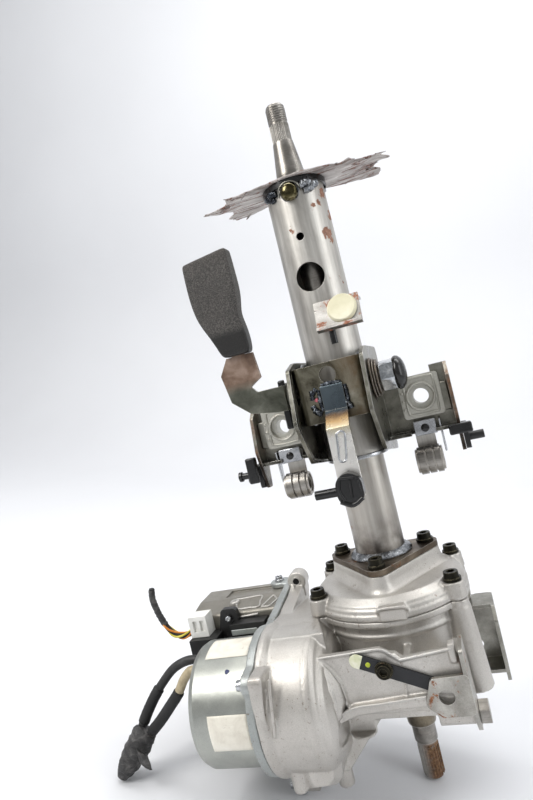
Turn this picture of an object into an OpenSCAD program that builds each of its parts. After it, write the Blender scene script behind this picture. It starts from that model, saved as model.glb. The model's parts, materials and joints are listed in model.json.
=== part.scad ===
// Steering column with electric power assist: slotted tilt bracket, worm gearbox, motor, control unit.
// Millimetres. Drawn along the steering axis with the lower tip at zero, X along the worm and Y away
// from the driver's knees, then leaned as it stands on a table with the lower journal at the origin.

/* [Stand] */
// Lean of the steering axis from upright, towards the motor
stand_lean = 13.2; // [11:0.1:15]

/* [Steering shaft] */
// Length from the lower tip to the wheel end
column_len = 590; // [580:1:620]
// Diameter of the wheel nut thread
thread_d = 15.8; // [14:0.1:16.2]
// Length of the wheel nut thread
thread_len = 17.5; // [14:0.5:19]
// Diameter of the wheel spline
spline_d = 16.8; // [16.4:0.1:17.4]
// Length of the wheel spline
spline_len = 15.5; // [12:0.5:17]
// Teeth on the wheel spline
spline_teeth = 36; // [24:1:40]
// Diameter of the wheel cone at its foot and of the upper bearing seat
cone_d = 25; // [23:0.5:27]
// Length of the wheel cone
cone_len = 29; // [24:1:30]
// Diameter of the steering shaft inside the tube
shaft_d = 22; // [20:0.5:23]
// Diameter of the inner shaft that slides in the steering shaft
slide_shaft_d = 16; // [14:0.5:17]
// Diameter of the clamped end at the lower tip
tip_d = 17.2; // [16:0.2:18]
// Length of the clamped end
tip_len = 31; // [26:1:34]
// Diameter of the plain journal above the clamped end
journal_d = 18.5; // [18.2:0.1:20]
// Length of the plain journal
journal_len = 16; // [12:1:18]
// Diameter of the collar that enters the gearbox
collar_d = 23.5; // [21:0.5:24.5]
// Diameter of the torsion bar ends
torsion_d = 9; // [8:0.2:9.4]

/* [Tubes] */
// Outer diameter of the upper tube
upper_tube_d = 50; // [49:0.5:52]
// Outer diameter of the lower tube
lower_tube_d = 42; // [40:0.5:43]
// Wall of both tubes
tube_wall = 2; // [1.6:0.1:2.2]
// Length of the upper tube
upper_tube_len = 237; // [225:1:250]
// Length of the lower tube
lower_tube_len = 205; // [190:1:215]
// Diameter of the large hole in the upper tube
sight_hole_d = 24; // [18:0.5:26]
// Drop of the large hole below the tube's top
sight_hole_drop = 82; // [74:1:88]
// Diameter of the small hole in the upper tube
small_hole_d = 6.5; // [5:0.5:8]
// Drop of the small hole below the tube's top
small_hole_drop = 48; // [40:1:54]

/* [Worm gear] */
// Height of the worm axis above the lower tip
gear_height = 111; // [108:1:114]
// Axial module of the worm gear
gear_module = 2.5; // [2.4:0.05:2.6]
// Teeth on the worm wheel
wheel_teeth = 41; // [40:1:42]
// Starts on the worm
worm_starts = 2; // [2:1:2]
// Pitch diameter of the worm
worm_pitch_d = 22; // [21:0.5:23]
// Face width of the worm wheel
wheel_face = 14; // [12:0.5:15]
// Length of the cut worm thread
worm_thread_len = 44; // [36:1:48]

/* [Gearbox] */
// Wall of the gear chamber
housing_wall = 5; // [4:0.5:6]
// Height of the chamber above the worm axis, up to the cover joint
chamber_h = 51; // [49:1:54]
// Height of the cover's shoulder above the joint
cover_h = 16; // [15:0.5:20]
// Height of the raised flange seat above the shoulder
seat_h = 13; // [13:0.5:18]
// Thickness of the tube flange
flange_t = 5; // [4:0.5:7]
// Pitch circle of the three tube flange bolts
flange_bolt_pcd = 78; // [74:1:82]
// Pitch circle of the four cover bolts
cover_bolt_pcd = 128; // [126:1:134]
// Angle of the cover bolts from the worm's direction
cover_bolt_angle = 32; // [28:1:36]
// Thread diameter of the cover and flange bolts
bolt_d = 8; // [6:0.5:8]
// Head diameter of the cover and flange bolts
bolt_head_d = 14.5; // [13:0.5:15.5]
// Head height of the cover and flange bolts
bolt_head_h = 7; // [6:0.5:10]

/* [Motor] */
// Outer diameter of the motor can
motor_d = 96; // [92:1:100]
// Length of the motor can outside its end plate
motor_len = 53; // [50:1:60]
// Wall of the motor can
can_wall = 2.5; // [2:0.1:3]
// Thickness of the end plate
plate_t = 7; // [6:0.5:9]
// Distance from the steering axis to the end plate's gearbox face
plate_reach = 98; // [96:1:102]
// Diameter of the drive line's bearing seats
drive_shaft_d = 15; // [12:0.5:16]
// Outer diameter of the drive line's bearings
drive_bearing_d = 32; // [30:1:33]
// Width of the drive line's bearings
drive_bearing_w = 9; // [7:0.5:10]

/* [Control unit] */
// Length of the control unit along the worm
ecu_len = 87; // [80:1:95]
// Depth of the control unit
ecu_depth = 57; // [50:1:60]
// Height of the control unit's top above the lower tip
ecu_top = 165; // [160:1:166]

/* [Tilt bracket] */
// Height of the clamp bolt above the lower tip
clamp_height = 343; // [338:1:348]
// Distance of the clamp bolt in front of the steering axis
clamp_offset = 38; // [36:1:40]
// Diameter of the clamp bolt
clamp_bolt_d = 8; // [6:0.5:9]
// Clear width between the bracket's arms
arm_gap = 56; // [56:0.5:60]
// Sheet thickness of the brackets
sheet_t = 3; // [2.5:0.1:3.5]
// Tilt of the column each way from the middle
tilt_range = 2.5; // [1:0.1:2.6]
// Spacing of the two upper mounting holes
capsule_spacing = 124; // [120:1:130]
// Height of the upper mounting holes above the lower tip
capsule_height = 319; // [315:1:322]
// Diameter of the upper mounting holes
capsule_hole_d = 13; // [10:0.5:14]

/* [Lever] */
// Width of the lever's handle
handle_w = 40; // [36:1:46]
// Length of the lever's handle
handle_len = 84; // [76:1:96]
// Thickness of the lever's handle at its thick end
handle_t = 17; // [14:0.5:20]

/* [Lower bracket] */
// Height of the tilt pivot above the lower tip
pivot_height = 100; // [98:1:104]
// Distance of the tilt pivot behind the steering axis
pivot_offset = 57; // [56:0.5:60]
// Diameter of the pivot bolts
pivot_bolt_d = 8; // [6:0.5:9]
// Diameter of the lower mounting hole
lower_hole_d = 10.5; // [8:0.5:12]
// Diameter of the hole in the front tab
tab_hole_d = 11; // [8:0.5:13]

/* [Fits] */
// Radial clearance of shafts, bearings and bolts in their seats
running_fit = 0.05; // [0.02:0.01:0.1]
// Gap between pieces that are bolted or stacked together
seat_gap = 0.3; // [0.2:0.05:0.4]

/* [Hidden] */
$fn = 64;
eps = 0.02;
// Round ends stand proud by this much, so a curve and the flat beside it meet at a clear edge
crown = 0.02;

// Worm gear
wheel_pitch_r = gear_module * wheel_teeth / 2;
wheel_tip_r = wheel_pitch_r + 0.88 * gear_module;
wheel_root_r = wheel_pitch_r - 1.04 * gear_module;
worm_pitch_r = worm_pitch_d / 2;
worm_tip_r = worm_pitch_r + 0.88 * gear_module;
worm_root_r = worm_pitch_r - 1.04 * gear_module;
axial_pitch = PI * gear_module;
worm_lead = worm_starts * axial_pitch;
tooth_w = axial_pitch / 2 - 0.36 * gear_module;
flank_slope = tan(20);
worm_y = -(wheel_pitch_r + worm_pitch_r);
tip_half_w = tooth_w / 2 - 0.88 * gear_module * flank_slope;
root_half_w = tooth_w / 2 + 1.04 * gear_module * flank_slope;

// Gear chamber and cover, heights above the tip
chamber_r = wheel_tip_r + 1.5;
housing_r = chamber_r + housing_wall;
rim_r = housing_r + 5;
cover_r = housing_r + 2;
joint_z = gear_height + chamber_h;
shoulder_z = joint_z + cover_h;
seat_z = shoulder_z + seat_h;
flange_z = seat_z + flange_t;
floor_z = gear_height - wheel_face / 2 - 4;
rim_t = 5;
boss_r = 8.8;
bolt_seat_z = shoulder_z - 2;

// Bearings on the steering shaft: outer diameter, bore and width
upper_bearing = [upper_tube_d - 2 * tube_wall - 2 * running_fit, cone_d, 12];
input_bearing = [37, 20, 9];
wheel_bearing = [55, 30, 13];
output_bearing = [47, 25, 12];
output_bearing_z = floor_z - 2 - output_bearing[2];
wheel_bearing_z = gear_height + wheel_face / 2 + 8;
input_bearing_z = seat_z - 4 - input_bearing[2];
hub_half = wheel_face / 2 + 3;

// Torque sensor
coil_d = 53;
coil_bore = 40;
coil_z = wheel_bearing_z + wheel_bearing[2] + 2;
coil_h = input_bearing_z - 2.5 - coil_z;
ring_d = coil_bore - 2;
pilot_d = 18;
output_top_z = coil_z + 9;
input_step_z = flange_z + 4;

// Shaft stations
journal_z = tip_len;
collar_z = tip_len + journal_len;
thread_z = column_len - thread_len;
spline_z = thread_z - spline_len;
cone_z = spline_z - cone_len;
tube_top_z = cone_z - 10;
tube_foot_z = tube_top_z - upper_tube_len;
socket_z = flange_z + 29;
socket_len = 75;
upper_bearing_z = tube_top_z - 8 - upper_bearing[2];

// Drive line along X, from the motor end to the plug
plate_x = -plate_reach - plate_t;
can_x = plate_x - motor_len;
motor_r = motor_d / 2;
worm_left_x = -43 - drive_bearing_w;
worm_right_x = 30;
tunnel_end_x = 50;
tunnel_r = drive_bearing_d / 2 + 5;
coupling_x = -plate_reach + 6;
coupling_len = 22;
plate_bearing_x = plate_x + 1;
tail_bearing_x = can_x + can_wall + seat_gap;

// Table under the leaned column: height above the tip's plane at a place along X
function table_z(x) = -(x + tip_d / 2) * tan(stand_lean);
lug_r = 8;
lug_z = table_z(plate_x) + lug_r;
ecu_x = plate_x - seat_gap - ecu_len;
ecu_y = -2;
ecu_z = table_z(ecu_x);
plate_corners = [[worm_y - 44, gear_height + 34], [44, ecu_top - 3], [worm_y + 12, lug_z]];

// Tilt bracket
arm_x = arm_gap / 2;
arm_out = arm_x + sheet_t;
back_y = upper_tube_d / 2 + 13.5;
flange_y = 12;
capsule_x = capsule_spacing / 2;
capsule_w = 34;
capsule_half_h = 18;
capsule_neck_w = 23;
flange_out = capsule_x + capsule_w / 2 + 9;
flange_low = capsule_height - 31;
flange_high = capsule_height + 24;
tilt_radius = [-clamp_offset - pivot_offset, clamp_height - pivot_height];
tilt_dir = [-tilt_radius.y, tilt_radius.x] / norm(tilt_radius);
slot_half = norm(tilt_radius) * tan(tilt_range) + 0.6;
block_x = arm_x - 0.5;
block_y = clamp_offset + 14;
strap_r = 10;
tab_z = clamp_height + 56;
strap_t = 2;

// Lever, left of the bracket
cam_x = -arm_out - seat_gap;
cam_t = 5;
lever_x = cam_x - cam_t - seat_gap;
lever_y = -clamp_offset - 15;
lever_t = 3;
handle_z = clamp_height + 44;
handle_right = lever_x - 18;
tang_x = handle_right - 12.5;
tang_w = 11;

// Lower and front brackets
leg_x = 45 + seat_gap;
leg_out = leg_x + sheet_t;
panel_y = worm_y - tunnel_r - 3;
tab_y = panel_y - 2.6;
tab_hole = [36, gear_height + 5.5];
front_leg_x = tunnel_end_x + seat_gap;
front_bolt = [worm_y, gear_height - 23];
strap_ends = [[-22, gear_height + 35], [29, gear_height + 13]];
strap_hole = [-3.5, gear_height + 27];

// Loose leads: bends of each route, from the grommet or plug to the taped end
cable_d = 8;
grommet_len = 8;
dark_exit = [can_x - grommet_len - 0.8, worm_y + 20, gear_height + 27];
light_exit = [can_x - grommet_len - 0.8, worm_y, gear_height + 28];
dark_route = [dark_exit, [-182, -42.5, 139], [-197, -44, 134], [-209.5, -47.5, 123.5], [-218.5, -51, 113.5],
    [-226, -55, 103], [-231.2, -58.9, 93.9]];
light_route = [light_exit, [-171.5, -62.3, 138.6], [-179, -62.5, 132], [-187, -62.7, 121], [-197, -63, 111],
    [-209, -63.5, 99.5], [-220.3, -64.1, 90.2]];
stub_route = [[-227, -62, 91.5], [-233, -65.5, 82.5], [-240, -69.5, 73.5], [-246, -73.5, 66.5], [-251, -77, 59.5]];
stub_r = [10.7, 11.5, 11.5, 9.5, 5];
plug_box = [18, 15, 19];
plug_at = [-187, ecu_y - 16, ecu_top - 17];
wire_route = [plug_at + [-1.4, 7, 4], [-193, -11, 149.5], [-199.5, -11, 148.5], [-206, -11, 150.5],
    [-211.5, -11.2, 155.5], [-215.3, -11.6, 162.5], [-218.2, -12, 170.5], [-220.2, -12.4, 179],
    [-221.2, -12.7, 188], [-219.6, -13, 197.5]];
wire_d = 5;

// Lean the drawn column as it stands, with the middle of the journal's lower edge at the origin
module standing() rotate([0, -stand_lean, 0]) translate([0, 0, -journal_z]) children();

// Outline in (Y, Z) made into a slab from x, thickness t along +X
module slab_x(x, t) translate([x, 0, 0]) rotate([90, 0, 90]) linear_extrude(t) children();

// Outline in (X, Z) made into a slab from y, thickness t along +Y
module slab_y(y, t) translate([0, y + t, 0]) rotate([90, 0, 0]) linear_extrude(t) children();

// Place along X at a point (y, z); the child's Z becomes X
module along_x(x, y, z) translate([x, y, z]) rotate([0, 90, 0]) children();

// Place facing the front at a point; the child's Z becomes -Y
module facing_front(x, y, z) translate([x, y, z]) rotate([90, 0, 0]) children();

module both_sides() {
    children();
    mirror([1, 0, 0]) children();
}

module ring(od, id, h) difference() {
    cylinder(d = od, h = h);
    translate([0, 0, -1]) cylinder(d = id, h = h + 2);
}

// Straight bar with round ends between two points
module stadium(a, b, r) {
    d = b - a;
    translate(a) circle(r + crown);
    translate(b) circle(r + crown);
    translate(a) rotate(atan2(d.y, d.x)) translate([0, -r]) square([norm(d), 2 * r]);
}

// Polygon grown by a round border
module rounded_poly(points, r) {
    polygon(points);
    for (i = [0 : len(points) - 1]) stadium(points[i], points[(i + 1) % len(points)], r);
}

// Bent strip along a chain of points
module bent_strip(points, t) for (i = [0 : len(points) - 2]) stadium(points[i], points[i + 1], t / 2);

// Sealed ball bearing: outer and inner rings with sunk shields between them
module sealed_bearing(size) {
    r_out = size[0] / 2;
    r_in = size[1] / 2 + running_fit;
    wall = (r_out - r_in) / 3;
    sunk = 0.7;
    rotate_extrude() polygon([[r_in, 0], [r_in + wall, 0], [r_in + wall, sunk], [r_out - wall, sunk],
        [r_out - wall, 0], [r_out, 0], [r_out, size[2]], [r_out - wall, size[2]],
        [r_out - wall, size[2] - sunk], [r_in + wall, size[2] - sunk], [r_in + wall, size[2]],
        [r_in, size[2]]]);
}

// Socket bolt with a washer face under its tapered head, head up, seat at zero
module socket_bolt(d, head_d, head_h, len) {
    difference() {
        union() {
            cylinder(d = head_d, h = head_h * 0.3);
            cylinder(d1 = head_d * 0.88, d2 = head_d * 0.78, h = head_h);
        }
        translate([0, 0, head_h * 0.45]) cylinder(d = head_d * 0.5, h = head_h, $fn = 6);
    }
    translate([0, 0, -len]) cylinder(d = d, h = len + eps);
}

// Hexagon-head bolt, head up, seat at zero
module hex_bolt(d, flats, head_h, len) {
    cylinder(d = flats / cos(30), h = head_h, $fn = 6);
    translate([0, 0, -len]) cylinder(d = d, h = len + eps);
}

// Round lead swept along its bends: one ring of corners at each bend, square to the route there
function heading(route, i) = let (a = route[max(i - 1, 0)], b = route[min(i + 1, len(route) - 1)])
    (b - a) / norm(b - a);
function side_of(h) = let (s = cross(h, [0, 1, 0.2])) s / norm(s);
function ring_points(c, h, r, n) = let (s = side_of(h), u = cross(s, h))
    [for (k = [0 : n - 1]) c + r * (cos(360 * k / n) * s + sin(360 * k / n) * u)];
module lead(route, radii, n) {
    last = len(route) - 1;
    points = [for (i = [0 : last]) each ring_points(route[i], heading(route, i), radii[i], n)];
    sides = [for (i = [0 : last - 1], k = [0 : n - 1])
        [i * n + k, i * n + (k + 1) % n, (i + 1) * n + (k + 1) % n, (i + 1) * n + k]];
    first_cap = [for (k = [n - 1 : -1 : 0]) k];
    last_cap = [for (k = [0 : n - 1]) last * n + k];
    polyhedron(points, concat(sides, [first_cap, last_cap]), convexity = 6);
}

function flange_bolt(i) = let (a = [-90, 20, 160][i]) flange_bolt_pcd / 2 * [cos(a), sin(a)];
function cover_bolt(i) = let (a = [-cover_bolt_angle, cover_bolt_angle, 180 - cover_bolt_angle,
    180 + cover_bolt_angle][i]) cover_bolt_pcd / 2 * [cos(a), sin(a)];

// Steering shaft, turning as one

module upper_shaft() color("silver") {
    difference() {
        rotate_extrude() polygon([[0, socket_z], [shaft_d / 2, socket_z], [shaft_d / 2, upper_bearing_z - 3],
            [cone_d / 2, upper_bearing_z - 3], [cone_d / 2, cone_z], [spline_d / 2 + 0.5, spline_z],
            [spline_d / 2 - 1.3, spline_z], [spline_d / 2 - 1.3, thread_z], [thread_d / 2, thread_z],
            [thread_d / 2, column_len - 1.5], [thread_d / 2 - 1.2, column_len], [0, column_len]]);
        translate([0, 0, socket_z - 1]) cylinder(d = slide_shaft_d + 2 * running_fit, h = socket_len + 1);
    }
    translate([0, 0, spline_z]) linear_extrude(spline_len)
        polygon([for (i = [0 : 4 * spline_teeth - 1]) let (a = 90 * i / spline_teeth)
            spline_d / 2 * (i % 4 < 2 ? 1 : 0.945) * [cos(a), sin(a)]]);
}

module input_shaft() color("lightgray") difference() {
    top = socket_z + socket_len - 6;
    bore_top = flange_z + 30;
    rotate_extrude() polygon([[torsion_d / 2 + running_fit, output_top_z - 17],
        [pilot_d / 2 - running_fit, output_top_z - 17], [pilot_d / 2 - running_fit, output_top_z + 1.5],
        [input_bearing[1] / 2, output_top_z + 1.5], [input_bearing[1] / 2, input_step_z],
        [slide_shaft_d / 2, input_step_z], [slide_shaft_d / 2, top], [0, top], [0, bore_top],
        [torsion_d / 2 + running_fit, bore_top]]);
}

module torsion_bar() color("dimgray") rotate_extrude() polygon([[0, output_bearing_z - 12],
    [torsion_d / 2, output_bearing_z - 12], [torsion_d / 2, output_bearing_z + 12],
    [torsion_d / 3, output_bearing_z + 18], [torsion_d / 3, flange_z + 4], [torsion_d / 2, flange_z + 10],
    [torsion_d / 2, flange_z + 29], [0, flange_z + 29]]);

module output_shaft() color("darkgray") {
    bore_z = output_bearing_z - 12 - seat_gap;
    socket_z = output_top_z - 18;
    flat = tip_d * 0.42;
    difference() {
        rotate_extrude() polygon([[0, 0], [tip_d / 2 - 1, 0], [tip_d / 2, 1], [tip_d / 2, tip_len],
            [journal_d / 2, tip_len], [journal_d / 2, collar_z], [collar_d / 2, collar_z],
            [collar_d / 2, output_bearing_z - 1], [output_bearing[1] / 2, output_bearing_z - 1],
            [output_bearing[1] / 2, gear_height - hub_half - seat_gap],
            [wheel_bearing[1] / 2, gear_height - hub_half - seat_gap],
            [wheel_bearing[1] / 2, coil_z], [ring_d / 2 - 6, coil_z], [ring_d / 2 - 6, output_top_z],
            [pilot_d / 2 + running_fit, output_top_z], [pilot_d / 2 + running_fit, socket_z],
            [torsion_d / 2 + running_fit, socket_z], [torsion_d / 2 + running_fit, bore_z], [0, bore_z]]);
        for (s = [-1, 1]) translate([s * (flat + 10), 0, tip_len / 2 - 2])
            cube([20, tip_d + 2, tip_len - 4 + eps], center = true);
    }
}

module worm_wheel() color("tan") {
    face_twist = atan(worm_lead / (PI * worm_pitch_d)) ;
    turn = tan(face_twist) * wheel_face / wheel_pitch_r * 180 / PI;
    shape = [for (i = [0 : wheel_teeth - 1]) each
        [for (c = [[-root_half_w, wheel_root_r], [-tip_half_w, wheel_tip_r], [tip_half_w, wheel_tip_r],
            [root_half_w, wheel_root_r]])
            let (a = (i + 0.5) * 360 / wheel_teeth - 90 + c[0] / wheel_pitch_r * 180 / PI)
            c[1] * [cos(a), sin(a)]]];
    rim_in = wheel_root_r - 8;
    difference() {
        translate([0, 0, gear_height - wheel_face / 2]) linear_extrude(wheel_face, twist = -turn, slices = 4)
            rotate(-turn / 2) polygon(shape);
        translate([0, 0, gear_height - wheel_face]) cylinder(r = rim_in, h = 2 * wheel_face);
    }
    difference() {
        translate([0, 0, gear_height]) rotate_extrude() polygon([
            [wheel_bearing[1] / 2 + running_fit, -hub_half], [wheel_bearing[1] / 2 + 6, -hub_half],
            [wheel_bearing[1] / 2 + 6, -4], [rim_in - 5, -4], [rim_in - 5, -wheel_face / 2],
            [rim_in + 0.5, -wheel_face / 2], [rim_in + 0.5, wheel_face / 2], [rim_in - 5, wheel_face / 2],
            [rim_in - 5, 4], [wheel_bearing[1] / 2 + 6, 4], [wheel_bearing[1] / 2 + 6, hub_half],
            [wheel_bearing[1] / 2 + running_fit, hub_half]]);
        for (i = [0 : 5]) rotate(60 * i) translate([wheel_bearing[1] / 2 + 12, 0, 0])
            cylinder(r = 3.5, h = 2 * gear_height);
    }
}

module sensor_rings() color("goldenrod") {
    translate([0, 0, coil_z + 1]) ring(ring_d, ring_d - 12 + 2 * running_fit, output_top_z - coil_z - 2);
    translate([0, 0, output_top_z + 4]) ring(ring_d, input_bearing[1] + 2 * running_fit, 8);
}

// Column tube and what is fixed to it

module sensor_coil() color("saddlebrown") translate([0, 0, coil_z]) difference() {
    cylinder(d = coil_d - 2 * running_fit, h = coil_h);
    translate([0, 0, -1]) cylinder(d = coil_bore, h = coil_h + 2);
}

module upper_bearing() color("gainsboro") translate([0, 0, upper_bearing_z]) sealed_bearing(upper_bearing);

module input_bearing() color("gainsboro") translate([0, 0, input_bearing_z]) sealed_bearing(input_bearing);

module wheel_bearing() color("gainsboro") translate([0, 0, wheel_bearing_z]) sealed_bearing(wheel_bearing);

module output_bearing() color("gainsboro") translate([0, 0, output_bearing_z]) sealed_bearing(output_bearing);

module upper_tube() color("darkgray") difference() {
    translate([0, 0, tube_foot_z]) ring(upper_tube_d, upper_tube_d - 2 * tube_wall, upper_tube_len);
    facing_front(0, 0, tube_top_z - sight_hole_drop) cylinder(d = sight_hole_d, h = upper_tube_d);
    facing_front(0, 0, tube_top_z - small_hole_drop) cylinder(d = small_hole_d, h = upper_tube_d);
}

module lower_tube() color("gray") translate([0, 0, seat_z + seat_gap])
    ring(lower_tube_d, lower_tube_d - 2 * tube_wall, lower_tube_len);

module slide_bushes() color("ivory") for (z = [tube_foot_z + 2, seat_z + lower_tube_len - 18])
    translate([0, 0, z]) ring(upper_tube_d - 2 * tube_wall - 2 * running_fit, lower_tube_d + 2 * running_fit, 16);

// Torn remains of a thin shroud plate on top of the tube
module top_plate() color("lightgray") translate([0, 0, tube_top_z + seat_gap]) difference() {
    linear_extrude(1.5) polygon([[-82, -9], [-66, -15], [-60, -20], [-40, -23], [-18, -31], [4, -33],
        [24, -33], [50, -31], [56, -26], [68, -20], [82, 5], [73, 3], [66, 11], [75, 28], [71, 45],
        [58, 43], [40, 38], [20, 34], [0, 31], [-22, 28], [-44, 22], [-60, 20], [-73, 15], [-65, 8],
        [-72, 2], [-63, -4]]);
    translate([0, 0, -1]) cylinder(d = upper_tube_d - 2 * tube_wall - 4, h = 5);
}

module tube_collar() color("dimgray") translate([0, 0, tube_top_z - 5])
    ring(upper_tube_d + 5, upper_tube_d + 2 * running_fit, 5);

module lock_peg() color("khaki") facing_front(0, -upper_tube_d / 2 - seat_gap, tube_top_z - 11) difference() {
    cylinder(d = 11, h = 7);
    translate([0, 0, 4]) cylinder(d = 6, h = 4);
}

// Bent tab on the right front of the tube, its face turned a little upwards
module tab_place() translate([18, -44, tab_z]) rotate([-18, 0, 0]) children();

module tab_bracket() color("silver") {
    difference() {
        union() {
            tab_place() translate([-18, -1.25, -12.5]) cube([36, 2.5, 25]);
            tab_place() translate([-18, -4.5, -12.5]) cube([36, 5.75, 2.5]);
            translate([2, -40.6, tab_z + 9.6]) cube([32, 32.6, 2.5]);
        }
        cylinder(d = upper_tube_d + 2 * running_fit, h = column_len);
        tab_place() facing_front(4, 8, 2.6) cylinder(d = 9, h = 12);
    }
}

module tab_pad() color("beige") tab_place() {
    facing_front(4, -1.25 - seat_gap, 2.6) cylinder(d1 = 24, d2 = 21, h = 3);
    facing_front(4, 6, 2.6) cylinder(d = 9 - 2 * running_fit, h = 8);
}

// Folded saddle welded to the tube, which the clamp bolt squeezes between the bracket's arms
module tilt_block() color("olive") difference() {
    low = clamp_height - 25;
    tall = 46;
    wall = 2.5;
    translate([0, 0, low]) linear_extrude(tall) difference() {
        union() {
            translate([-block_x, -block_y + 6]) square([2 * block_x, block_y - 6]);
            stadium([-block_x + 6, -block_y + 6], [block_x - 6, -block_y + 6], 6);
        }
        translate([-block_x + wall, -block_y + wall + 4]) square([2 * block_x - 2 * wall, block_y]);
        stadium([-block_x + 6, -block_y + 6], [block_x - 6, -block_y + 6], 6 - wall);
        circle(d = upper_tube_d + 2 * running_fit);
    }
    along_x(-arm_gap, -clamp_offset, clamp_height) cylinder(d = clamp_bolt_d + 2 * running_fit, h = 2 * arm_gap);
    facing_front(0, -block_y + 10, low + 36) cylinder(d = 13, h = 20);
}

tongue_path = [[-block_y - 1.6, clamp_height + 2], [-block_y - 1.6, clamp_height - 17],
    [-block_y - 14, clamp_height - 30], [-block_y - 16, clamp_height - 82]];

module tongue_arm() color("silver") difference() {
    slab_x(-8, 18) bent_strip(tongue_path, 2.5);
    slab_y(-block_y - 17.6, 1.2) stadium([1, clamp_height - 62], [1, clamp_height - 38], 2.2);
}

// Plastic clip on the tongue and a clip's stub under the tab
module column_clips() color("black") {
    at = tongue_path[3] + [-1.25 - seat_gap, 0];
    slab_y(at.x - 9, 9) stadium([1, at.y + 4], [1, at.y + 9], 10);
    along_x(-26, at.x - 4.5, at.y + 6) cylinder(d = 7, h = 20);
    translate([9, -35, tab_z - 22]) cylinder(d = 5.5, h = 31.2);
}

// Clamp across the bracket, left to right

module clamp_bolt() color("dimgray") along_x(lever_x - 4 - seat_gap, -clamp_offset, clamp_height) {
    mirror([0, 0, 1]) cylinder(d = 13 / cos(30), h = 5.5, $fn = 6);
    cylinder(d = clamp_bolt_d - 2 * running_fit, h = arm_out + 20 - lever_x);
}

module clamp_nut() color("white") along_x(arm_out + 6 + 2 * seat_gap, -clamp_offset, clamp_height) difference() {
    union() {
        cylinder(d = 20, h = 2.5);
        cylinder(d = 15 / cos(30), h = 10, $fn = 6);
        translate([0, 0, 10 - eps]) rotate_extrude()
            polygon([[0, 0], [7, 0], [7, 2], [6, 5], [3.6, 6.8], [0, 7.4]]);
    }
    translate([0, 0, -1]) cylinder(d = clamp_bolt_d, h = 12);
}

module thrust_washers() color("sienna") for (w = [[0, 2.4, 24], [2.7, 3.3, 21]])
    along_x(arm_out + seat_gap + w[0], -clamp_offset, clamp_height)
        ring(w[2], clamp_bolt_d + 4 * running_fit, w[1]);

module fixed_cam() color("dimgray") along_x(cam_x - cam_t, -clamp_offset, clamp_height)
    ring(22, clamp_bolt_d + 4 * running_fit, cam_t);

module lever_arm() color("gray") {
    z = clamp_height;
    x = lever_x - 4;
    slab_x(x, 4) difference() {
        union() {
            translate([-clamp_offset, z]) circle(13);
            translate([lever_y, z - 9]) square([15, 20]);
        }
        translate([-clamp_offset, z]) circle(d = clamp_bolt_d + 4 * running_fit);
    }
    slab_y(lever_y, lever_t) polygon([[lever_x, z + 11], [lever_x, z - 9], [x - 4, z - 9], [x - 27, z - 5],
        [x - 41, z + 7], [x - 45, z + 30], [x - 37, z + 43], [tang_x - tang_w / 2, z + 43],
        [tang_x - tang_w / 2, z + 66], [tang_x + tang_w / 2, z + 66], [tang_x + tang_w / 2, z + 43],
        [x - 14, z + 43], [x - 12, z + 22], [x - 22, z + 16], [x - 18, z + 11]]);
}

// Softly rounded slab through points of (X, Z, half thickness)
module soft_slab(points, y, r) hull() for (p = points, side = [-1, 1])
    translate([p[0], y + side * (p[2] - r), p[1]]) sphere(r, $fn = 32);

module lever_handle() color("darkslategray") difference() {
    top = handle_z + handle_len;
    left = handle_right - handle_w;
    mid_y = lever_y + lever_t / 2;
    waist = [[handle_right - 6, handle_z + 0.5 * handle_len, handle_t / 2],
        [left + 7, handle_z + 0.52 * handle_len, handle_t / 2]];
    union() {
        soft_slab(concat(waist, [[left + 6, top - 11, handle_t / 2],
            [handle_right - 8, top - 6, handle_t / 2 - 1]]), mid_y, 6);
        soft_slab(concat(waist, [[handle_right - 6, handle_z + 6, 6.5], [handle_right - 18, handle_z + 6, 6.5]]),
            mid_y, 6);
    }
    translate([tang_x - tang_w / 2 - seat_gap, lever_y - seat_gap, handle_z - 5])
        cube([tang_w + 2 * seat_gap, lever_t + 2 * seat_gap, 27 + seat_gap]);
}

// Upper bracket and its break-away mountings

module tilt_bracket() color("slategray") {
    slot_a = [-clamp_offset, clamp_height] - slot_half * tilt_dir;
    slot_b = [-clamp_offset, clamp_height] + slot_half * tilt_dir;
    high = clamp_height + 22;
    both_sides() {
        slab_x(arm_x, sheet_t) difference() {
            rounded_poly([[-clamp_offset - 15, clamp_height + 17], [-clamp_offset - 27, clamp_height - 21],
                [-clamp_offset - 4, clamp_height - 51], [back_y - 3, clamp_height - 62], [back_y - 3, high],
                [-clamp_offset + 4, high]], 5);
            stadium(slot_a, slot_b, clamp_bolt_d / 2 + 0.5);
        }
        difference() {
            slab_y(flange_y, sheet_t) difference() {
                rounded_poly([[arm_x + 4, flange_low + 4], [flange_out - 4, flange_low + 4],
                    [flange_out - 4, flange_high - 4], [arm_x + 4, flange_high - 4]], 4);
                translate([capsule_x - capsule_neck_w / 2, capsule_height - capsule_half_h])
                    square([capsule_neck_w, flange_high]);
            }
            translate([arm_x - 20, flange_y - 1, flange_low - 5]) cube([20, sheet_t + 2, 100]);
        }
        for (x = [[arm_out - eps, capsule_x - 14], [capsule_x + 6, flange_out - sheet_t + eps]])
            translate([x[0], flange_y - 13, flange_low]) cube([x[1] - x[0], 13 + eps, sheet_t]);
        slab_x(flange_out - sheet_t, sheet_t) rounded_poly([[flange_y + sheet_t - 2, flange_low + 2],
            [flange_y + sheet_t - 2, flange_high - 2], [flange_y - 12, flange_high - 12],
            [flange_y - 18, flange_low + 14], [flange_y - 8, flange_low - 18],
            [flange_y + sheet_t - 6, flange_low - 18]], 2);
    }
    slab_y(back_y, sheet_t) rounded_poly([[-arm_x + 2, clamp_height - 62], [arm_x - 2, clamp_height - 62],
        [arm_x - 2, high], [-arm_x + 2, high]], 5);
}

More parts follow.
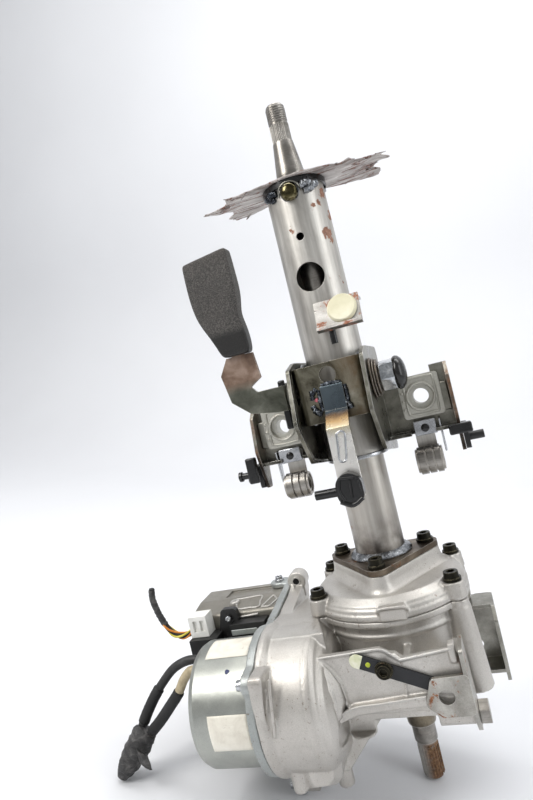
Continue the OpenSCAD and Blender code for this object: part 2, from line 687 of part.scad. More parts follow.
module capsules() color("gainsboro") for (s = [-1, 1]) difference() {
    low = capsule_height - capsule_half_h + seat_gap;
    high = capsule_height + capsule_half_h;
    x = s * capsule_x;
    neck = capsule_neck_w / 2 - seat_gap;
    union() {
        slab_y(flange_y - 7, 17) rounded_poly([[x - neck + 2, low + 2], [x + neck - 2, low + 2],
            [x + neck - 2, high - 2], [x - neck + 2, high - 2]], 2);
        for (y = [flange_y - 7, flange_y + sheet_t + seat_gap]) slab_y(y, 7 - seat_gap)
            rounded_poly([[x - capsule_w / 2 + 3, low + 3], [x + capsule_w / 2 - 3, low + 3],
                [x + capsule_w / 2 - 3, high - 3], [x - capsule_w / 2 + 3, high - 3]], 3);
    }
    facing_front(x, 60, capsule_height) cylinder(d = capsule_hole_d, h = 100);
    facing_front(x, flange_y - 5, capsule_height) cylinder(d = capsule_hole_d + 7, h = 10);
}

// Curled straps that unroll when the column breaks away
module energy_straps() color("silver") for (s = [-1, 1]) translate([s * (capsule_x - 4) - 11, 0, 0]) {
    y = flange_y - seat_gap - strap_r;
    z = flange_low - 22;
    along_x(0, y, z) ring(2 * strap_r, 2 * (strap_r - strap_t), 22);
    along_x(1, y, z) ring(2 * (strap_r - strap_t) - 1, 2 * (strap_r - 2 * strap_t) - 1, 20);
    translate([3, flange_y - seat_gap - strap_t, z]) cube([16, strap_t, 30]);
}

module harness_clips() color("black") {
    z = flange_low - 8;
    both_sides() {
        slab_x(flange_out + seat_gap, 4) rounded_poly([[flange_y - 10, z - 8], [flange_y - 2, z - 8],
            [flange_y - 2, z + 8], [flange_y - 10, z + 8]], 3);
        along_x(flange_out + 4, flange_y - 6, z - 2) cylinder(d = 7, h = 12);
    }
}

// Gearbox

module tube_flange() color("rosybrown") difference() {
    union() {
        translate([0, 0, seat_z + seat_gap]) linear_extrude(flange_t - seat_gap) union() {
            rounded_poly([for (i = [0 : 2]) flange_bolt(i)], 10);
            circle(r = lower_tube_d / 2 + 7);
        }
        translate([0, 0, flange_z]) rotate_extrude() polygon([[lower_tube_d / 2 + running_fit, -eps],
            [lower_tube_d / 2 + 5, -eps], [lower_tube_d / 2 + 4, 2], [lower_tube_d / 2 + 1.5, 4],
            [lower_tube_d / 2 + running_fit, 4.6]]);
    }
    translate([0, 0, seat_z - 1]) cylinder(d = lower_tube_d + 2 * running_fit, h = 20);
    for (i = [0 : 2]) translate(flange_bolt(i)) translate([0, 0, seat_z - 1])
        cylinder(d = bolt_d + 2 * running_fit, h = 20);
}

module torx_bolts() color("black") {
    for (i = [0 : 2]) translate(flange_bolt(i)) translate([0, 0, flange_z + seat_gap])
        socket_bolt(bolt_d, bolt_head_d, bolt_head_h, flange_t + seat_h + 8);
    for (i = [0 : 3]) translate(cover_bolt(i)) translate([0, 0, bolt_seat_z + seat_gap])
        socket_bolt(bolt_d, bolt_head_d, bolt_head_h, cover_h + 12);
}

module gear_cover() color("darkgray") difference() {
    coil_r = coil_d / 2;
    bearing_r = wheel_bearing[0] / 2 + running_fit;
    union() {
        rotate_extrude() polygon([[bearing_r + 4.5, wheel_bearing_z - 1], [bearing_r, wheel_bearing_z - 1],
            [bearing_r, wheel_bearing_z + wheel_bearing[2] + seat_gap],
            [coil_r, wheel_bearing_z + wheel_bearing[2] + seat_gap], [coil_r, input_bearing_z - 2],
            [input_bearing[1] / 2 + 5, input_bearing_z - 2], [input_bearing[1] / 2 + 5, input_bearing_z - seat_gap],
            [input_bearing[0] / 2 + running_fit, input_bearing_z - seat_gap],
            [input_bearing[0] / 2 + running_fit, seat_z], [30, seat_z], [30, shoulder_z],
            [cover_r - 6, shoulder_z], [cover_r, shoulder_z - 5], [cover_r, joint_z + rim_t],
            [rim_r, joint_z + rim_t], [rim_r, joint_z + seat_gap], [chamber_r + 2, joint_z + seat_gap],
            [chamber_r + 2, shoulder_z - 8], [chamber_r - 1, shoulder_z - 5], [bearing_r + 4.5, shoulder_z - 5]]);
        translate([0, 0, shoulder_z - eps]) linear_extrude(seat_h + eps) difference() {
            rounded_poly([for (i = [0 : 2]) flange_bolt(i)], 10);
            circle(r = 29);
        }
        for (i = [0 : 2]) translate(flange_bolt(i)) translate([0, 0, joint_z + 3])
            cylinder(r = boss_r - 1, h = cover_h);
        for (i = [0 : 3]) translate(cover_bolt(i)) translate([0, 0, joint_z + seat_gap])
            cylinder(r = boss_r, h = bolt_seat_z - joint_z - seat_gap);
        translate([0, 0, joint_z + seat_gap]) linear_extrude(11) difference() {
            translate([-2, -rim_r - 1]) square([20, 9]);
            circle(r = chamber_r + 3);
        }
    }
    for (i = [0 : 2]) translate(flange_bolt(i)) translate([0, 0, joint_z + 4])
        cylinder(d = bolt_d + 2 * running_fit, h = 60);
    for (i = [0 : 3]) translate(cover_bolt(i)) {
        translate([0, 0, joint_z - 1]) cylinder(d = bolt_d + 2 * running_fit, h = 60);
        translate([0, 0, bolt_seat_z]) cylinder(d = bolt_head_d + 1, h = 40);
    }
}

module gear_housing() color("silver") difference() {
    bell_r = motor_r + 5;
    union() {
        rotate_extrude() polygon([[output_bearing[1] / 2 + 1, output_bearing_z - 4],
            [output_bearing[0] / 2 + 5, output_bearing_z - 4], [output_bearing[0] / 2 + 7, floor_z - 6],
            [housing_r, floor_z - 6], [housing_r, joint_z - rim_t], [rim_r, joint_z - rim_t], [rim_r, joint_z],
            [chamber_r, joint_z], [chamber_r, floor_z], [output_bearing[0] / 2 + running_fit, floor_z],
            [output_bearing[0] / 2 + running_fit, output_bearing_z - seat_gap],
            [output_bearing[1] / 2 + 1, output_bearing_z - seat_gap]]);
        along_x(-60, worm_y, gear_height) cylinder(r = tunnel_r, h = tunnel_end_x + 60);
        along_x(0, worm_y, gear_height) rotate_extrude() polygon([[0, -plate_reach + seat_gap],
            [bell_r, -plate_reach + seat_gap], [bell_r, -62], [bell_r - 3, -54], [bell_r - 9, -48],
            [bell_r - 18, -44], [0, -44]]);
        slab_x(-plate_reach + seat_gap, 12) rounded_poly(plate_corners, lug_r - 2);
        slab_y(panel_y, 6) polygon([[-50, gear_height - 14], [tunnel_end_x, gear_height - 14],
            [tunnel_end_x, gear_height + 30], [14, gear_height + 30], [6, gear_height + 37],
            [-50, gear_height + 37]]);
        translate([-50, panel_y - 3, gear_height - 14]) cube([50 + tunnel_end_x, 50, 4]);
        for (x = [-50, 10, tunnel_end_x - 5]) translate([x, panel_y + 1, gear_height - 14])
            cube([5, 30, 30 + 14]);
        along_x(24, front_bolt.x, front_bolt.y) cylinder(r = 8, h = tunnel_end_x - 24);
        translate([-33, worm_y - 8, gear_height - 29]) cylinder(r = 10, h = 20);
        translate([-62, worm_y + 10, lug_z]) cylinder(r = 6.5, h = gear_height - lug_z);
        slab_y(worm_y + 16, 4) polygon([[-68, lug_z + 4], [-68, gear_height - 12], [-20, gear_height - 12]]);
        for (i = [0 : 3]) {
            drop = i == 0 ? joint_z - floor_z + 6 : 24;
            translate(cover_bolt(i)) translate([0, 0, joint_z - drop]) cylinder(r = boss_r, h = drop);
        }
        both_sides() slab_x(34, 11) stadium([pivot_offset - 18, pivot_height], [pivot_offset, pivot_height], 11);
    }
    translate([0, 0, floor_z]) cylinder(r = chamber_r, h = chamber_h + 20);
    translate([0, 0, output_bearing_z - seat_gap]) cylinder(d = output_bearing[0] + 2 * running_fit, h = 40);
    along_x(-70, worm_y, gear_height) cylinder(r = worm_tip_r + 1.4, h = 70 + tunnel_end_x + 1);
    along_x(-70, worm_y, gear_height) cylinder(d = drive_bearing_d + 2 * running_fit, h = 70 - 42.7);
    along_x(worm_right_x - seat_gap, worm_y, gear_height)
        cylinder(d = drive_bearing_d + 2 * running_fit, h = 40);
    along_x(-plate_reach - 1, worm_y, gear_height) cylinder(r = bell_r - 7, h = plate_reach - 66);
    for (i = [0 : 3]) translate(cover_bolt(i)) translate([0, 0, joint_z - 20])
        cylinder(d = bolt_d + 2 * running_fit, h = 40);
    facing_front(strap_hole.x, panel_y + 7, strap_hole.y) cylinder(d = 5 + 2 * running_fit, h = 10);
    along_x(30, front_bolt.x, front_bolt.y) cylinder(d = pivot_bolt_d + 2 * running_fit, h = 40);
    both_sides() along_x(30, pivot_offset, pivot_height) cylinder(d = pivot_bolt_d + 2 * running_fit, h = 40);
}

module ground_strap() color("black") slab_y(panel_y - 2 - seat_gap, 2) difference() {
    stadium(strap_ends[0], strap_ends[1], 5);
    translate(strap_hole) circle(d = 5 + 2 * running_fit);
}

module strap_screw() color("black") facing_front(strap_hole.x, panel_y - 2 - 2 * seat_gap, strap_hole.y)
    socket_bolt(5, 13, 4.5, 7);

module front_bracket() color("slategray") difference() {
    union() {
        slab_x(front_leg_x, sheet_t) rounded_poly([[tab_y + 0.2, gear_height - 5], [tab_y + 0.2, gear_height + 34],
            [worm_y - 6, gear_height + 34], [worm_y + 8, gear_height - 24], [worm_y - 6, gear_height - 30]], 3);
        slab_y(tab_y - sheet_t, sheet_t) rounded_poly([[front_leg_x + sheet_t - 4, gear_height - 5],
            [front_leg_x + sheet_t - 4, gear_height + 16], [30, gear_height + 15],
            [25, gear_height + 1], [32, gear_height - 5]], 4);
        translate([front_leg_x, tab_y - sheet_t, gear_height - 5]) cube([sheet_t, 8, 21]);
    }
    facing_front(tab_hole.x, 0, tab_hole.y) cylinder(d = tab_hole_d, h = 200);
    along_x(30, front_bolt.x, front_bolt.y) cylinder(d = pivot_bolt_d + 2 * running_fit, h = 40);
}

// Pivoted bracket behind the gearbox, with a folded cup for the lower mounting bolt
module lower_bracket() color("slategray") difference() {
    cup_y = pivot_offset - 14;
    low = pivot_height - 28;
    union() {
        both_sides() slab_x(leg_x, sheet_t)
            stadium([pivot_offset, pivot_height], [pivot_offset + 17, pivot_height], 13);
        translate([-leg_out, pivot_offset + 15, pivot_height - 16]) cube([2 * leg_out, sheet_t, 32]);
        translate([leg_x, cup_y, pivot_height - 13]) cube([sheet_t, 30, 26]);
        slab_y(cup_y, sheet_t) rounded_poly([[leg_x + 4, low + 14], [66, low + 4], [76, low + 4],
            [76, low + 56], [66, low + 56], [leg_x + 4, low + 46]], 4);
        slab_x(77, sheet_t) rounded_poly([[cup_y + sheet_t - 2, low + 2], [cup_y + sheet_t - 2, low + 58],
            [cup_y - 27, low + 58], [cup_y - 36, low + 50], [cup_y - 36, low + 2]], 2);
        translate([62, cup_y - 24, low + 57]) cube([17, 26, sheet_t]);
        translate([62, cup_y - 24, low]) cube([17, 26, sheet_t]);
    }
    both_sides() along_x(30, pivot_offset, pivot_height) cylinder(d = pivot_bolt_d + 2 * running_fit, h = 40);
    facing_front(leg_out + 9.7, 100, pivot_height - 13) cylinder(d = lower_hole_d, h = 200);
}

module pivot_bolts() color("dimgray") {
    both_sides() along_x(leg_out + seat_gap, pivot_offset, pivot_height)
        hex_bolt(pivot_bolt_d, 13, 6, leg_out + seat_gap - 32);
    along_x(front_leg_x + sheet_t + seat_gap, front_bolt.x, front_bolt.y) hex_bolt(pivot_bolt_d, 16, 7, 20);
}

// Drive line, turning as one about the worm axis

module worm() color("lightgray") {
    turns = 360 * worm_thread_len / worm_lead;
    section = [for (i = [0 : 47]) let (a = 7.5 * i, s = abs((worm_starts * a / 360) % 1 - 0.5) * axial_pitch,
        f = (axial_pitch / 2 - s - tip_half_w) / (root_half_w - tip_half_w),
        r = worm_tip_r - (worm_tip_r - worm_root_r) * min(max(f, 0), 1)) r * [cos(a), sin(a)]];
    along_x(-worm_thread_len / 2, worm_y, gear_height) linear_extrude(worm_thread_len, twist = -turns, slices = 48)
        rotate(90 - turns / 2) polygon(section);
    along_x(0, worm_y, gear_height) {
        translate([0, 0, -worm_thread_len / 2 - 16]) cylinder(r = worm_root_r - 0.2, h = worm_thread_len + 22);
        translate([0, 0, coupling_x + coupling_len / 2 + 1])
            cylinder(d = drive_shaft_d, h = worm_right_x + drive_bearing_w - coupling_x - coupling_len / 2 - 1);
    }
}

module worm_plug() color("dimgray") along_x(worm_right_x + drive_bearing_w + seat_gap, worm_y, gear_height) difference() {
    len = tunnel_end_x - worm_right_x - drive_bearing_w - 2 * seat_gap;
    cylinder(d = drive_bearing_d, h = len);
    translate([0, 0, len - 5]) cylinder(d = 14, h = 10, $fn = 6);
}

module coupling() color("peru") along_x(coupling_x, worm_y, gear_height) difference() {
    cylinder(d = 34, h = coupling_len);
    translate([0, 0, -1]) cylinder(d = drive_shaft_d + 2 * running_fit, h = coupling_len + 2);
    for (i = [0 : 3]) rotate(90 * i) translate([15, -3, coupling_len / 2 - 4]) cube([10, 6, 8]);
}

module motor_shaft() color("silver") along_x(0, worm_y, gear_height) {
    tail = tail_bearing_x + seat_gap;
    translate([0, 0, tail]) cylinder(d = drive_shaft_d, h = coupling_x + coupling_len / 2 - 1 - tail);
}

module armature() color("peru") along_x(0, worm_y, gear_height) {
    core_r = motor_r - can_wall - 10;
    front = plate_x - 14;
    translate([0, 0, tail_bearing_x + drive_bearing_w + 3]) difference() {
        len = front - 3 - tail_bearing_x - drive_bearing_w - 3;
        cylinder(r = core_r, h = len);
        translate([0, 0, -1]) cylinder(d = drive_shaft_d + 2 * running_fit, h = len + 2);
        for (i = [0 : 11]) rotate(30 * i) translate([core_r - 8, -1.5, -1]) cube([12, 3, len + 2]);
    }
    translate([0, 0, front - 2]) ring(28, drive_shaft_d + 2 * running_fit, 12);
}

module brush_holder() color("saddlebrown") along_x(plate_x - 13, worm_y, gear_height) difference() {
    cylinder(r = motor_r - can_wall - running_fit, h = 12);
    translate([0, 0, -1]) cylinder(d = 28 + 1, h = 20);
    for (i = [0 : 3]) rotate(90 * i + 45) translate([18, -5, -1]) cube([14, 10, 8]);
}

module magnets() color("dimgray") along_x(tail_bearing_x + drive_bearing_w + 2, worm_y, gear_height) {
    r = motor_r - can_wall - running_fit;
    len = plate_x - 15 - tail_bearing_x - drive_bearing_w - 2;
    for (i = [0 : 3]) rotate(90 * i) rotate_extrude(angle = 74) translate([r - 8, 0]) square([8, len]);
}

module drive_bearings() color("gainsboro")
    for (x = [tail_bearing_x, plate_bearing_x, worm_left_x, worm_right_x])
        along_x(x, worm_y, gear_height) sealed_bearing([drive_bearing_d, drive_shaft_d, drive_bearing_w]);

// Motor, control unit and leads

module end_plate() color("lightgray") difference() {
    union() {
        slab_x(plate_x, plate_t) {
            rounded_poly(plate_corners, lug_r);
            translate([worm_y, gear_height]) circle(r = motor_r + 7);
        }
        along_x(plate_x, worm_y, gear_height) cylinder(d = drive_bearing_d + 12, h = drive_bearing_w + 4);
        translate([plate_x - 7, 42, ecu_top + seat_gap]) cylinder(r = 9, h = 5);
        translate([plate_x - 7, 33, ecu_top + seat_gap]) cube([8, 18, 5 - seat_gap]);
    }
    along_x(plate_bearing_x - 0.5, worm_y, gear_height)
        cylinder(d = drive_bearing_d + 2 * running_fit, h = drive_bearing_w + 20);
    along_x(plate_x - 5, worm_y, gear_height) cylinder(d = drive_shaft_d + 4, h = 40);
    for (p = [plate_corners[0], plate_corners[2]]) along_x(plate_x - 5, p.x, p.y)
        cylinder(d = 6 + 2 * running_fit, h = plate_t + 10);
    translate([plate_x - 7, 42, ecu_top - 5]) cylinder(d = 5 + 2 * running_fit, h = 20);
}

module motor_can() color("silver") along_x(0, worm_y, gear_height) difference() {
    seat_r = drive_bearing_d / 2 + running_fit;
    rotate_extrude() polygon([[0, can_x], [motor_r - 6, can_x], [motor_r - 2, can_x + 2],
        [motor_r, can_x + 6], [motor_r, plate_x - seat_gap], [motor_r - can_wall, plate_x - seat_gap],
        [motor_r - can_wall, can_x + can_wall + 3], [motor_r - can_wall - 4, can_x + can_wall],
        [seat_r + 3, can_x + can_wall], [seat_r + 3, can_x + can_wall + drive_bearing_w],
        [seat_r, can_x + can_wall + drive_bearing_w], [seat_r, can_x + can_wall], [0, can_x + can_wall]]);
    for (p = [dark_exit, light_exit]) translate([gear_height - p.z, p.y - worm_y, can_x - 1])
        cylinder(d = cable_d + 2, h = can_wall + 1.5);
}

module motor_screws() color("dimgray") {
    for (p = [plate_corners[0], plate_corners[2]]) along_x(plate_x - seat_gap, p.x, p.y) mirror([0, 0, 1])
        socket_bolt(6, 10, 5, plate_t);
    translate([plate_x - 7, 42, ecu_top + 5 + 2 * seat_gap]) socket_bolt(5, 9, 4, 14);
}

// Die-cast box standing behind the motor, its lower left edge on the table
module ecu_case() color("gray") difference() {
    back = ecu_y + ecu_depth;
    union() {
        slab_x(ecu_x, ecu_len) rounded_poly([[ecu_y + 3, ecu_z + 3], [back - 3, ecu_z + 3],
            [back - 3, ecu_top - 3], [ecu_y + 27, ecu_top - 3], [ecu_y + 3, ecu_top - 7]], 3);
        for (i = [0 : 5]) translate([ecu_x + 8 + 12 * i, back - 2, ecu_z + 14]) cube([4, 8, 84]);
    }
    translate([ecu_x + 26, ecu_y + 30, ecu_top - 2]) cube([ecu_len - 40, 19, 5]);
    slab_x(ecu_x + 4, ecu_len - 22) polygon([[ecu_y + 4, ecu_z + 4], [back - 4, ecu_z + 4],
        [back - 4, ecu_top - 7], [ecu_y + 27, ecu_top - 7], [ecu_y + 4, ecu_top - 11]]);
    translate([plate_x - 7, 42, ecu_top - 20]) cylinder(d = 5 + 2 * running_fit, h = 30);
}

module ecu_connector() color("black") {
    translate([ecu_x + 44, ecu_y - 14 - seat_gap, ecu_top - 30]) cube([34, 14, 20]);
    slab_y(ecu_y - 6 - seat_gap, 6) rounded_poly([[ecu_x + 33, ecu_top - 20], [ecu_x + 48, ecu_top - 20],
        [ecu_x + 46, ecu_top - 2], [ecu_x + 38, ecu_top - 2]], 4);
    facing_front(ecu_x + 42, ecu_y - 6, ecu_top - 6) cylinder(d = 6, h = 3);
    translate([ecu_x + 5, ecu_y - 22 - seat_gap, ecu_top - 36]) cube([can_x - 2 - ecu_x - 5, 22, 18.7]);
}

module signal_plug() color("white") translate(plug_at + [0, -seat_gap, 0]) difference() {
    cube(plug_box);
    translate([4, -1, 5]) cube([4, 3, 10]);
    translate([11, -1, 5]) cube([4, 3, 10]);
}

module cable_grommets() color("black") for (p = [dark_exit, light_exit])
    along_x(can_x - grommet_len, p.y, p.z) {
        cylinder(d1 = cable_d + 4, d2 = cable_d + 8, h = grommet_len - seat_gap);
        cylinder(d = cable_d + 2 - 2 * running_fit, h = grommet_len + can_wall - seat_gap);
    }

module signal_wires() color("orange") lead(wire_route, [for (p = wire_route) wire_d / 2], 8);

module power_cable_dark() color("black") lead(dark_route, [for (p = dark_route) cable_d / 2], 10);

module power_cable_light() color("tan") lead(light_route, [for (p = light_route) cable_d / 2], 10);

module tape_stub() color("black") lead(stub_route, stub_r, 12);

standing() upper_shaft();
standing() input_shaft();
standing() torsion_bar();
standing() output_shaft();
standing() worm_wheel();
standing() sensor_rings();
standing() sensor_coil();
standing() upper_bearing();
standing() input_bearing();
standing() wheel_bearing();
standing() output_bearing();
standing() upper_tube();
standing() lower_tube();
standing() slide_bushes();
standing() top_plate();
standing() tube_collar();
standing() lock_peg();
standing() tab_bracket();
standing() tab_pad();
standing() tilt_block();
standing() tongue_arm();
standing() column_clips();
standing() clamp_bolt();
standing() clamp_nut();
standing() thrust_washers();
standing() fixed_cam();
standing() lever_arm();
standing() lever_handle();
standing() tilt_bracket();
standing() capsules();
standing() energy_straps();
standing() harness_clips();
standing() tube_flange();
standing() torx_bolts();
standing() gear_cover();
standing() gear_housing();
standing() ground_strap();
standing() strap_screw();
standing() front_bracket();
standing() lower_bracket();
standing() pivot_bolts();
standing() worm();
standing() worm_plug();
standing() coupling();
standing() motor_shaft();
standing() armature();
standing() brush_holder();
standing() magnets();
standing() drive_bearings();
standing() end_plate();
standing() motor_can();
standing() motor_screws();
standing() ecu_case();
standing() ecu_connector();
standing() signal_plug();
standing() cable_grommets();
standing() signal_wires();
standing() power_cable_dark();
standing() power_cable_light();
standing() tape_stub();
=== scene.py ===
"""Looks of the steering column: camera, leads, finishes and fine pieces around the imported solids."""
import json
import random
from math import atan2, copysign, cos, hypot, pi, radians, sin, sqrt

import bmesh
import bpy
from mathutils import Matrix, Vector, noise


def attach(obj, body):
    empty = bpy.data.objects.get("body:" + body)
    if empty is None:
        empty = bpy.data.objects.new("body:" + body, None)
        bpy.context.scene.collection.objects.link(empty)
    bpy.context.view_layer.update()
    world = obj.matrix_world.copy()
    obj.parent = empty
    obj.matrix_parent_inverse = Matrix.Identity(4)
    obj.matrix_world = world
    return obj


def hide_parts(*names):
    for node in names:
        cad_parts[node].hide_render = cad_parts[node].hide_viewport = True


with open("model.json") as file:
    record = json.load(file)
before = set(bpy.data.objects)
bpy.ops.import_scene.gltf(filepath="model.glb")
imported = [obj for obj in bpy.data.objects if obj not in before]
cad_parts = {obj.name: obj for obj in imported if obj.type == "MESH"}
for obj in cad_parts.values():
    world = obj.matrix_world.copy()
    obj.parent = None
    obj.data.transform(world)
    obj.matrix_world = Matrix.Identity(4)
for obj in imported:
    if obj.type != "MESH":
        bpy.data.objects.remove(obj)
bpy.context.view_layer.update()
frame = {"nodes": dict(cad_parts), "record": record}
NODES = frame["nodes"]

# Pieces are drawn in the column's own millimetres, tip at zero and Z up the steering axis, then stood up
LEAN = radians(13.2)
JOURNAL_Z = 31
STAND = (Matrix.Rotation(-LEAN, 4, "Y") @ Matrix.Translation((0, 0, -JOURNAL_Z / 1000))
         @ Matrix.Scale(0.001, 4))
FLOOR_Z = -0.03216
AXIS = (0, 0, 0)
WORM_Y = -62.25
WORM_Z = 111.0
WORM = (0, WORM_Y, WORM_Z)
CAN_RADIUS = 48
EAR_X = -91.4
PLATE_Z = 519.05
PEG = (0, -25, 507)
CLAMP_Y = -38
CLAMP_Z = 343
CLAMP = (0, CLAMP_Y, CLAMP_Z)


def spot(x, y, z):
    """A point of the column's own millimetres, in the row frame."""
    return STAND @ Vector((x, y, z))


def turned(x, y, z):
    """A direction of the column, in the row frame."""
    return (Matrix.Rotation(-LEAN, 3, "Y") @ Vector((x, y, z))).normalized()


def polar(r, degrees):
    """A flat point at a radius and an angle."""
    return r * cos(radians(degrees)), r * sin(radians(degrees))


def shown(obj):
    """An object, linked to the scene."""
    bpy.context.scene.collection.objects.link(obj)
    return obj


# Camera and light

def make_camera():
    """Camera at the photo's place, tilted as the photo is."""
    data = bpy.data.cameras.new("camera")
    data.sensor_fit = "VERTICAL"
    data.sensor_height = 36
    data.lens = 26.3
    data.clip_start = 0.02
    view = turned(-0.292, 0.956, 0)
    right = view.cross(turned(0.2247, 0.0686, 0.972)).normalized()
    up = right.cross(view)
    camera = shown(bpy.data.objects.new("camera", data))
    axes = Matrix((right, up, -view)).transposed().to_4x4()
    camera.matrix_world = Matrix.Translation(spot(84.2, -500.2, 346)) @ axes
    bpy.context.scene.camera = camera


def area_light(name, place, target, size, power, colour):
    """Soft rectangular light aimed at a target."""
    data = bpy.data.lights.new(name, "AREA")
    data.shape = "RECTANGLE"
    data.size = size[0]
    data.size_y = size[1]
    data.energy = power
    data.color = colour
    lamp = shown(bpy.data.objects.new(name, data))
    lamp.location = place
    lamp.rotation_euler = (Vector(target) - Vector(place)).to_track_quat("-Z", "Y").to_euler()


def make_world():
    """Grey surround in front of the column that turns light behind it."""
    world = bpy.data.worlds.new("studio")
    bpy.context.scene.world = world
    world.use_nodes = True
    tree = world.node_tree
    tree.nodes.clear()
    out = tree.nodes.new("ShaderNodeOutputWorld")
    glow = tree.nodes.new("ShaderNodeBackground")
    coords = tree.nodes.new("ShaderNodeTexCoord")
    parts = tree.nodes.new("ShaderNodeSeparateXYZ")
    depth = tree.nodes.new("ShaderNodeValToRGB")
    shift = tree.nodes.new("ShaderNodeMath")
    shift.operation = "MULTIPLY_ADD"
    shift.inputs[1].default_value = 0.5
    shift.inputs[2].default_value = 0.5
    stops = depth.color_ramp.elements
    stops[0].position = 0.0
    stops[0].color = (0.48, 0.485, 0.49, 1)
    stops[1].position = 0.62
    stops[1].color = (0.95, 0.955, 0.96, 1)
    middle = stops.new(0.38)
    middle.color = (0.52, 0.525, 0.53, 1)
    tree.links.new(coords.outputs["Generated"], parts.inputs[0])
    tree.links.new(parts.outputs["Y"], shift.inputs[0])
    tree.links.new(shift.outputs[0], depth.inputs[0])
    tree.links.new(depth.outputs[0], glow.inputs[0])
    tree.links.new(glow.outputs[0], out.inputs[0])


make_camera()
make_world()
area_light("window", (-0.95, -0.75, 1.15), (0, 0, 0.28), (0.55, 0.9), 14.5, (1.0, 0.985, 0.96))
area_light("side_fill", (1.05, -0.35, 0.75), (0, 0, 0.25), (0.5, 1.1), 5, (0.95, 0.975, 1.0))
area_light("overhead", (0.1, 0.35, 1.5), (0, 0, 0.2), (1.3, 1.0), 4, (1.0, 1.0, 1.0))
area_light("backdrop_wash", (0, 0.3, 2.3), (0, 1.9, 0.7), (3.0, 0.8), 42, (1.0, 1.0, 1.0))
bpy.context.scene.view_settings.view_transform = "Standard"


# Finishes

def hexed(code):
    """A colour code as linear red, green, blue and one."""
    parts = [int(code[i:i + 2], 16) / 255 for i in (0, 2, 4)]
    return tuple(p / 12.92 if p <= 0.04045 else ((p + 0.055) / 1.055) ** 2.4 for p in parts) + (1.0,)


LOOKS = {}


